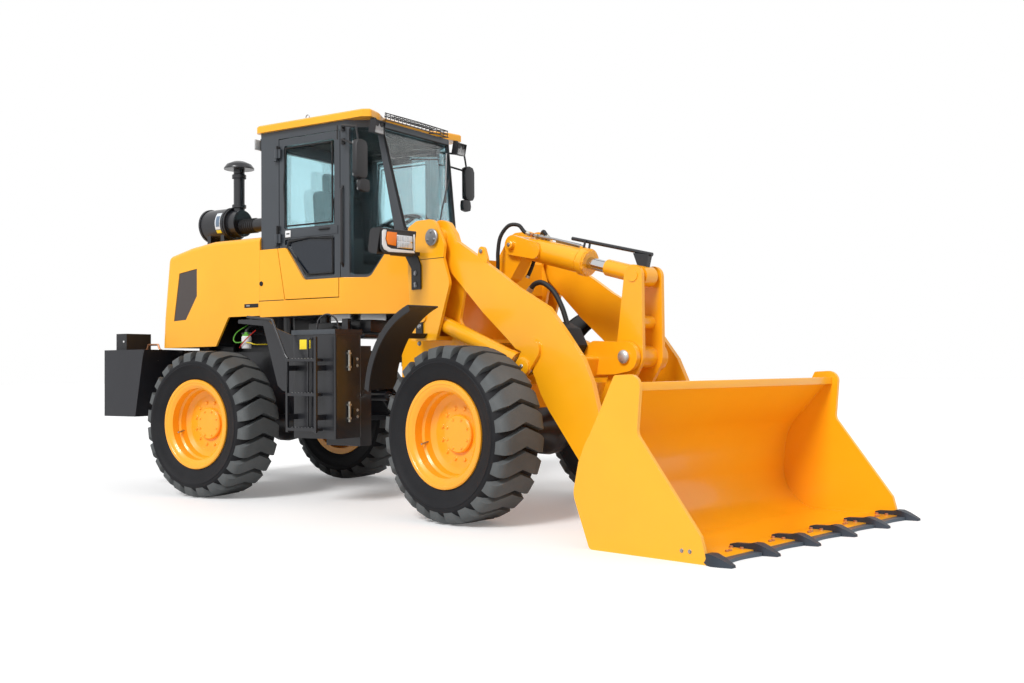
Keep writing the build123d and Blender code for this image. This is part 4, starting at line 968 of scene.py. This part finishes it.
def tilt_trim():
    """Sleeve and gland, ports, pressure pipe and fittings on the tilt cylinder."""
    made = Maker(FRONT).use(PAINT)
    made.lathe([(76, 100), (86, 106), (86, 588), (78, 592), (78, 602), (98, 604), (98, 650), (92, 654),
                (48, 656)], TILT_BASE, TILT_AXIS, 48)
    for i in range(12):
        turn = 2 * math.pi * i / 12
        made.bolt(on_tilt(654, 76 * math.sin(turn), 76 * math.cos(turn)), TILT_AXIS, 15)
    for reach in (150, 575):
        made.tube([on_tilt(reach, 60), on_tilt(reach, 100)], 22, 16)
    made.use(ZINC).tube([on_tilt(150, 92), on_tilt(150, 112)], 16, 6)
    made.use(STEEL).tube(rounded([on_tilt(575, 98), on_tilt(575, 112), on_tilt(330, 110, -16),
                                  on_tilt(170, 102, -46), on_tilt(110, 98, -52)], 12), 9, 12)
    made.tube([on_tilt(300, 96, 34), on_tilt(520, 96, 34)], 15, 16)
    for finish, reach, y in ((ZINC, 104, -52), (COPPER, 132, -50), (ZINC, 168, -46), (ZINC, 196, -10),
                             (COPPER, 226, -6), (ZINC, 252, -4)):
        made.use(finish).tube([on_tilt(reach - 11, 100, y), on_tilt(reach + 11, 100, y)], 15, 6)
    made.use(DARK).tube([on_tilt(600, 90, -20), on_tilt(600, 148, -20)], 8, 8)
    made.tube([on_tilt(625, 96, 6), on_tilt(625, 146, 6)], 8, 8)
    made.use(PAINT).lathe([(30, 0), (30, 8), (24, 12)], (1165, -128, 1900), (0, -1, 0), 24)
    made.use(STEEL).bolt((1165, -140, 1900), (0, -1, 0), 12)
    made.done("tilt_trim", "tilt_barrel", "paint")


TILT_HOSES = {  # reach, rise and y of points on the tilt cylinder
    "tilt_hose_outer": ((100, 100, -52), (55, 112, -60), (5, 148, -78), (-62, 130, -108),
                        (-104, 40, -128), (-96, -70, -134), (-80, -150, -130), (-74, -230, -118)),
    "tilt_hose_inner": ((248, 100, -4), (206, 124, 6), (150, 136, 40), (80, 100, 104), (40, 0, 134),
                        (20, -140, 132), (10, -230, 112)),
}


def tilt_hoses():
    """Hoses from the front frame to the tilt cylinder."""
    for name, points in TILT_HOSES.items():
        route = [on_tilt(*point) for point in points]
        made = Maker(FRONT).use(HOSE)
        made.tube(curve(route, 8), 14)
        made.use(ZINC).tube([route[0], route[0].lerp(route[1], 0.5)], 17, 6)
        made.tube([route[-1], route[-1].lerp(route[-2], 0.2)], 17, 6)
        made.done(name, "tilt_barrel", "plastic",
                  bent=("front_half", "tilt_barrel", FRONT @ route[-1], FRONT @ route[0]))


def rod_end():
    """The painted end of the tilt ram."""
    made = Maker(FRONT).use(PAINT)
    made.lathe([(44, 826), (57, 828), (57, 1080)], TILT_BASE, TILT_AXIS, 40)
    made.done("tilt_rod_end", "tilt_rod", "paint")


def arm_hose():
    """Hose along the cross tube to the black guard between the arms."""
    made = Maker(FRONT).use(HOSE)
    made.tube(curve([(1478, -250, 1560), (1520, -250, 1592), (1590, -246, 1594), (1680, -240, 1530),
                     (1750, -236, 1420), (1800, -232, 1285)], 8), 18)
    made.use(ZINC).tube([(1450, -250, 1530), (1486, -250, 1566)], 22, 6)
    made.tube([(1440, -250, 1490), (1450, -250, 1534)], 17, 12)
    made.use(SEAL).prism([(1690, 1265), (1770, 1130), (1880, 1085), (1930, 1160), (1870, 1275),
                          (1770, 1322)], "y", -330, -180, 8)
    made.done("arm_hose", "boom", "plastic")


def arm_trim():
    """Pin heads and bolts on the arms."""
    made = Maker(FRONT)
    for side in SIDES:
        made.use(STEEL).lathe([(46, 0), (46, 8), (40, 12)], (2440, side * 586, 250), (0, side, 0), 32)
        made.bolt((1277, side * 538, 1817), (0, side, 0), 12)
        made.use(SILVER).lathe([(44, 0), (44, 5), (38, 13), (24, 19), (8, 21)], (2230, side * 187, 1080),
                               (0, side, 0), 32)
        made.use(PAINT).lathe([(60, 0), (60, 8), (52, 12)], (1685, side * 566, 1022), (0, side, 0), 32)
        made.use(ZINC).bolt((1685, side * 577, 1022), (0, side, 0), 12)
    made.done("arm_trim", "boom", "paint")


def lever_trim():
    """Pin heads on the lever's foot."""
    made = Maker(FRONT)
    for side in SIDES:
        made.use(PAINT).lathe([(42, 0), (42, 8), (36, 11)], (1950, side * 133, 550), (0, side, 0), 32)
        made.use(STEEL).bolt((1950, side * 143, 550), (0, side, 0), 11)
    made.done("lever_trim", "lever", "paint")


# ---- bucket
TEETH = 6
SPREAD = 1121  # from the middle to the outer teeth
PITCH = 2 * SPREAD / (TEETH - 1)
TOOTH_SECTIONS = ((3330, 15, 21, 40), (3360, 20, 21, 48), (3450, 22, 21, 52), (3484, 30, 1, 62),
                  (3515, 44, 0, 60), (3560, 38, 0, 44), (3626, 20, 0, 14))  # along, half width, low, top


def tooth_set():
    """Bolted tooth adapters with pointed tips, and curved edge segments between them."""
    made = Maker(FRONT)
    for i in range(TEETH):
        y = -SPREAD + i * PITCH
        made.use(TOOTH).skin([[(x, y - h, low), (x, y + h, low), (x, y + h * 0.8, top),
                               (x, y - h * 0.8, top)] for x, h, low, top in TOOTH_SECTIONS])
        made.use(COPPER)
        for x in (3352, 3420):
            for off in (-26, 26):
                if abs(y + off) < 1120:
                    made.bolt((x, y + off * 1.3, 24), UP, 12)
    for i in range(TEETH - 1):
        y0, y1 = -SPREAD + i * PITCH + 46, -SPREAD + (i + 1) * PITCH - 46
        front = [(3552 - 22 * math.sin(math.pi * k / 12), y0 + (y1 - y0) * k / 12) for k in range(13)]
        made.use(CUT_EDGE).prism([(3486, y0)] + front + [(3486, y1)], "z", 1, 21)
        made.use(COPPER)
        for share in (0.3, 0.7):
            for off in (-16, 16):
                made.bolt((3410, y0 + (y1 - y0) * share + off, 24), UP, 11, False)
    made.done("tooth_set", "bucket", "dark_paint", "bucket_teeth")


def bucket_trim():
    """Wear plate along the lip, a stiffener along the top, and bolts on the bucket's cheeks."""
    made = Maker(FRONT).use(PAINT)
    made.slab(3300, 3489, -1120, 1120, 20, 25)
    made.slab(2994, 3028, -1124, 1124, 884, 932, 7)
    for side in SIDES:
        made.use(STEEL)
        for x in (3380, 3330):
            made.bolt((x, side * 1146, 60), (0, side, 0), 9)
    made.done("bucket_trim", "bucket", "paint")


for build in (hood_trim, tail_fittings, air_cleaner_trim, water_separator, headliner_and_painted_shade, roof_rack,
              screen_trim, lamp_glass, rails_and_mirrors, under_cab, box_trim, tower_trim, fender_trim,
              headlamp_faces, tilt_trim, tilt_hoses, rod_end, arm_hose, arm_trim, lever_trim,
              tooth_set, bucket_trim):
    build()
for side in SIDES:
    door_trim(side)
for pad in SEAT_PADS:
    seat_pad(pad)


# ---- floor, light
FLOOR = 60  # half the floor's width, in metres


def studio():
    """A pale floor, a key and a fill light, and a sky that looks white to the camera."""
    pale = Finish("pale_floor", Roughness=0.6, Specular_IOR_Level=0.2)
    seen = pale.node("ShaderNodeLightPath", {}, out="Is Camera Ray")
    pale.set(Base_Color=pale.blend(pale.noise(0.4, 2), (0.86, 0.86, 0.865), (0.9, 0.9, 0.9)),
             Emission_Color=pale.blend(seen, (0, 0, 0), (1, 1, 1)), Emission_Strength=0.16)
    mesh = bpy.data.meshes.new("studio_floor")
    mesh.from_pydata([(-FLOOR, -FLOOR, 0), (FLOOR, -FLOOR, 0), (FLOOR, FLOOR, 0), (-FLOOR, FLOOR, 0)],
                     [], [(0, 1, 2, 3)])
    mesh.materials.append(pale.material)
    floor = bpy.data.objects.new("studio_floor", mesh)
    bpy.context.scene.collection.objects.link(floor)
    for name, power, spread, source in (("key", 2.5, 20, (0.04, -0.85, 0.75)),
                                        ("fill", 0.35, 40, (1, 0.1, 0.7))):
        data = bpy.data.lights.new(name, "SUN")
        data.energy, data.angle = power, math.radians(spread)
        lamp = bpy.data.objects.new(name, data)
        lamp.rotation_euler = (-Vector(source)).to_track_quat("-Z", "Y").to_euler()
        bpy.context.scene.collection.objects.link(lamp)
    world = bpy.data.worlds.new("studio")
    bpy.context.scene.world = world
    world.use_nodes = True
    tree = world.node_tree
    back, path = tree.nodes["Background"], tree.nodes.new("ShaderNodeLightPath")
    seen = path.outputs["Is Camera Ray"]
    for ray in ("Is Glossy Ray", "Is Transmission Ray"):
        either = tree.nodes.new("ShaderNodeMath")
        either.operation = "MAXIMUM"
        tree.links.new(seen, either.inputs[0])
        tree.links.new(path.outputs[ray], either.inputs[1])
        seen = either.outputs[0]
    mix = tree.nodes.new("ShaderNodeMix")
    mix.data_type = "FLOAT"
    mix.inputs[2].default_value, mix.inputs[3].default_value = 0.52, 1.0
    tree.links.new(seen, mix.inputs[0])
    tree.links.new(mix.outputs[0], back.inputs["Strength"])
    back.inputs["Color"].default_value = (1, 1, 1, 1)
    bpy.context.scene.view_settings.view_transform = "Standard"


studio()
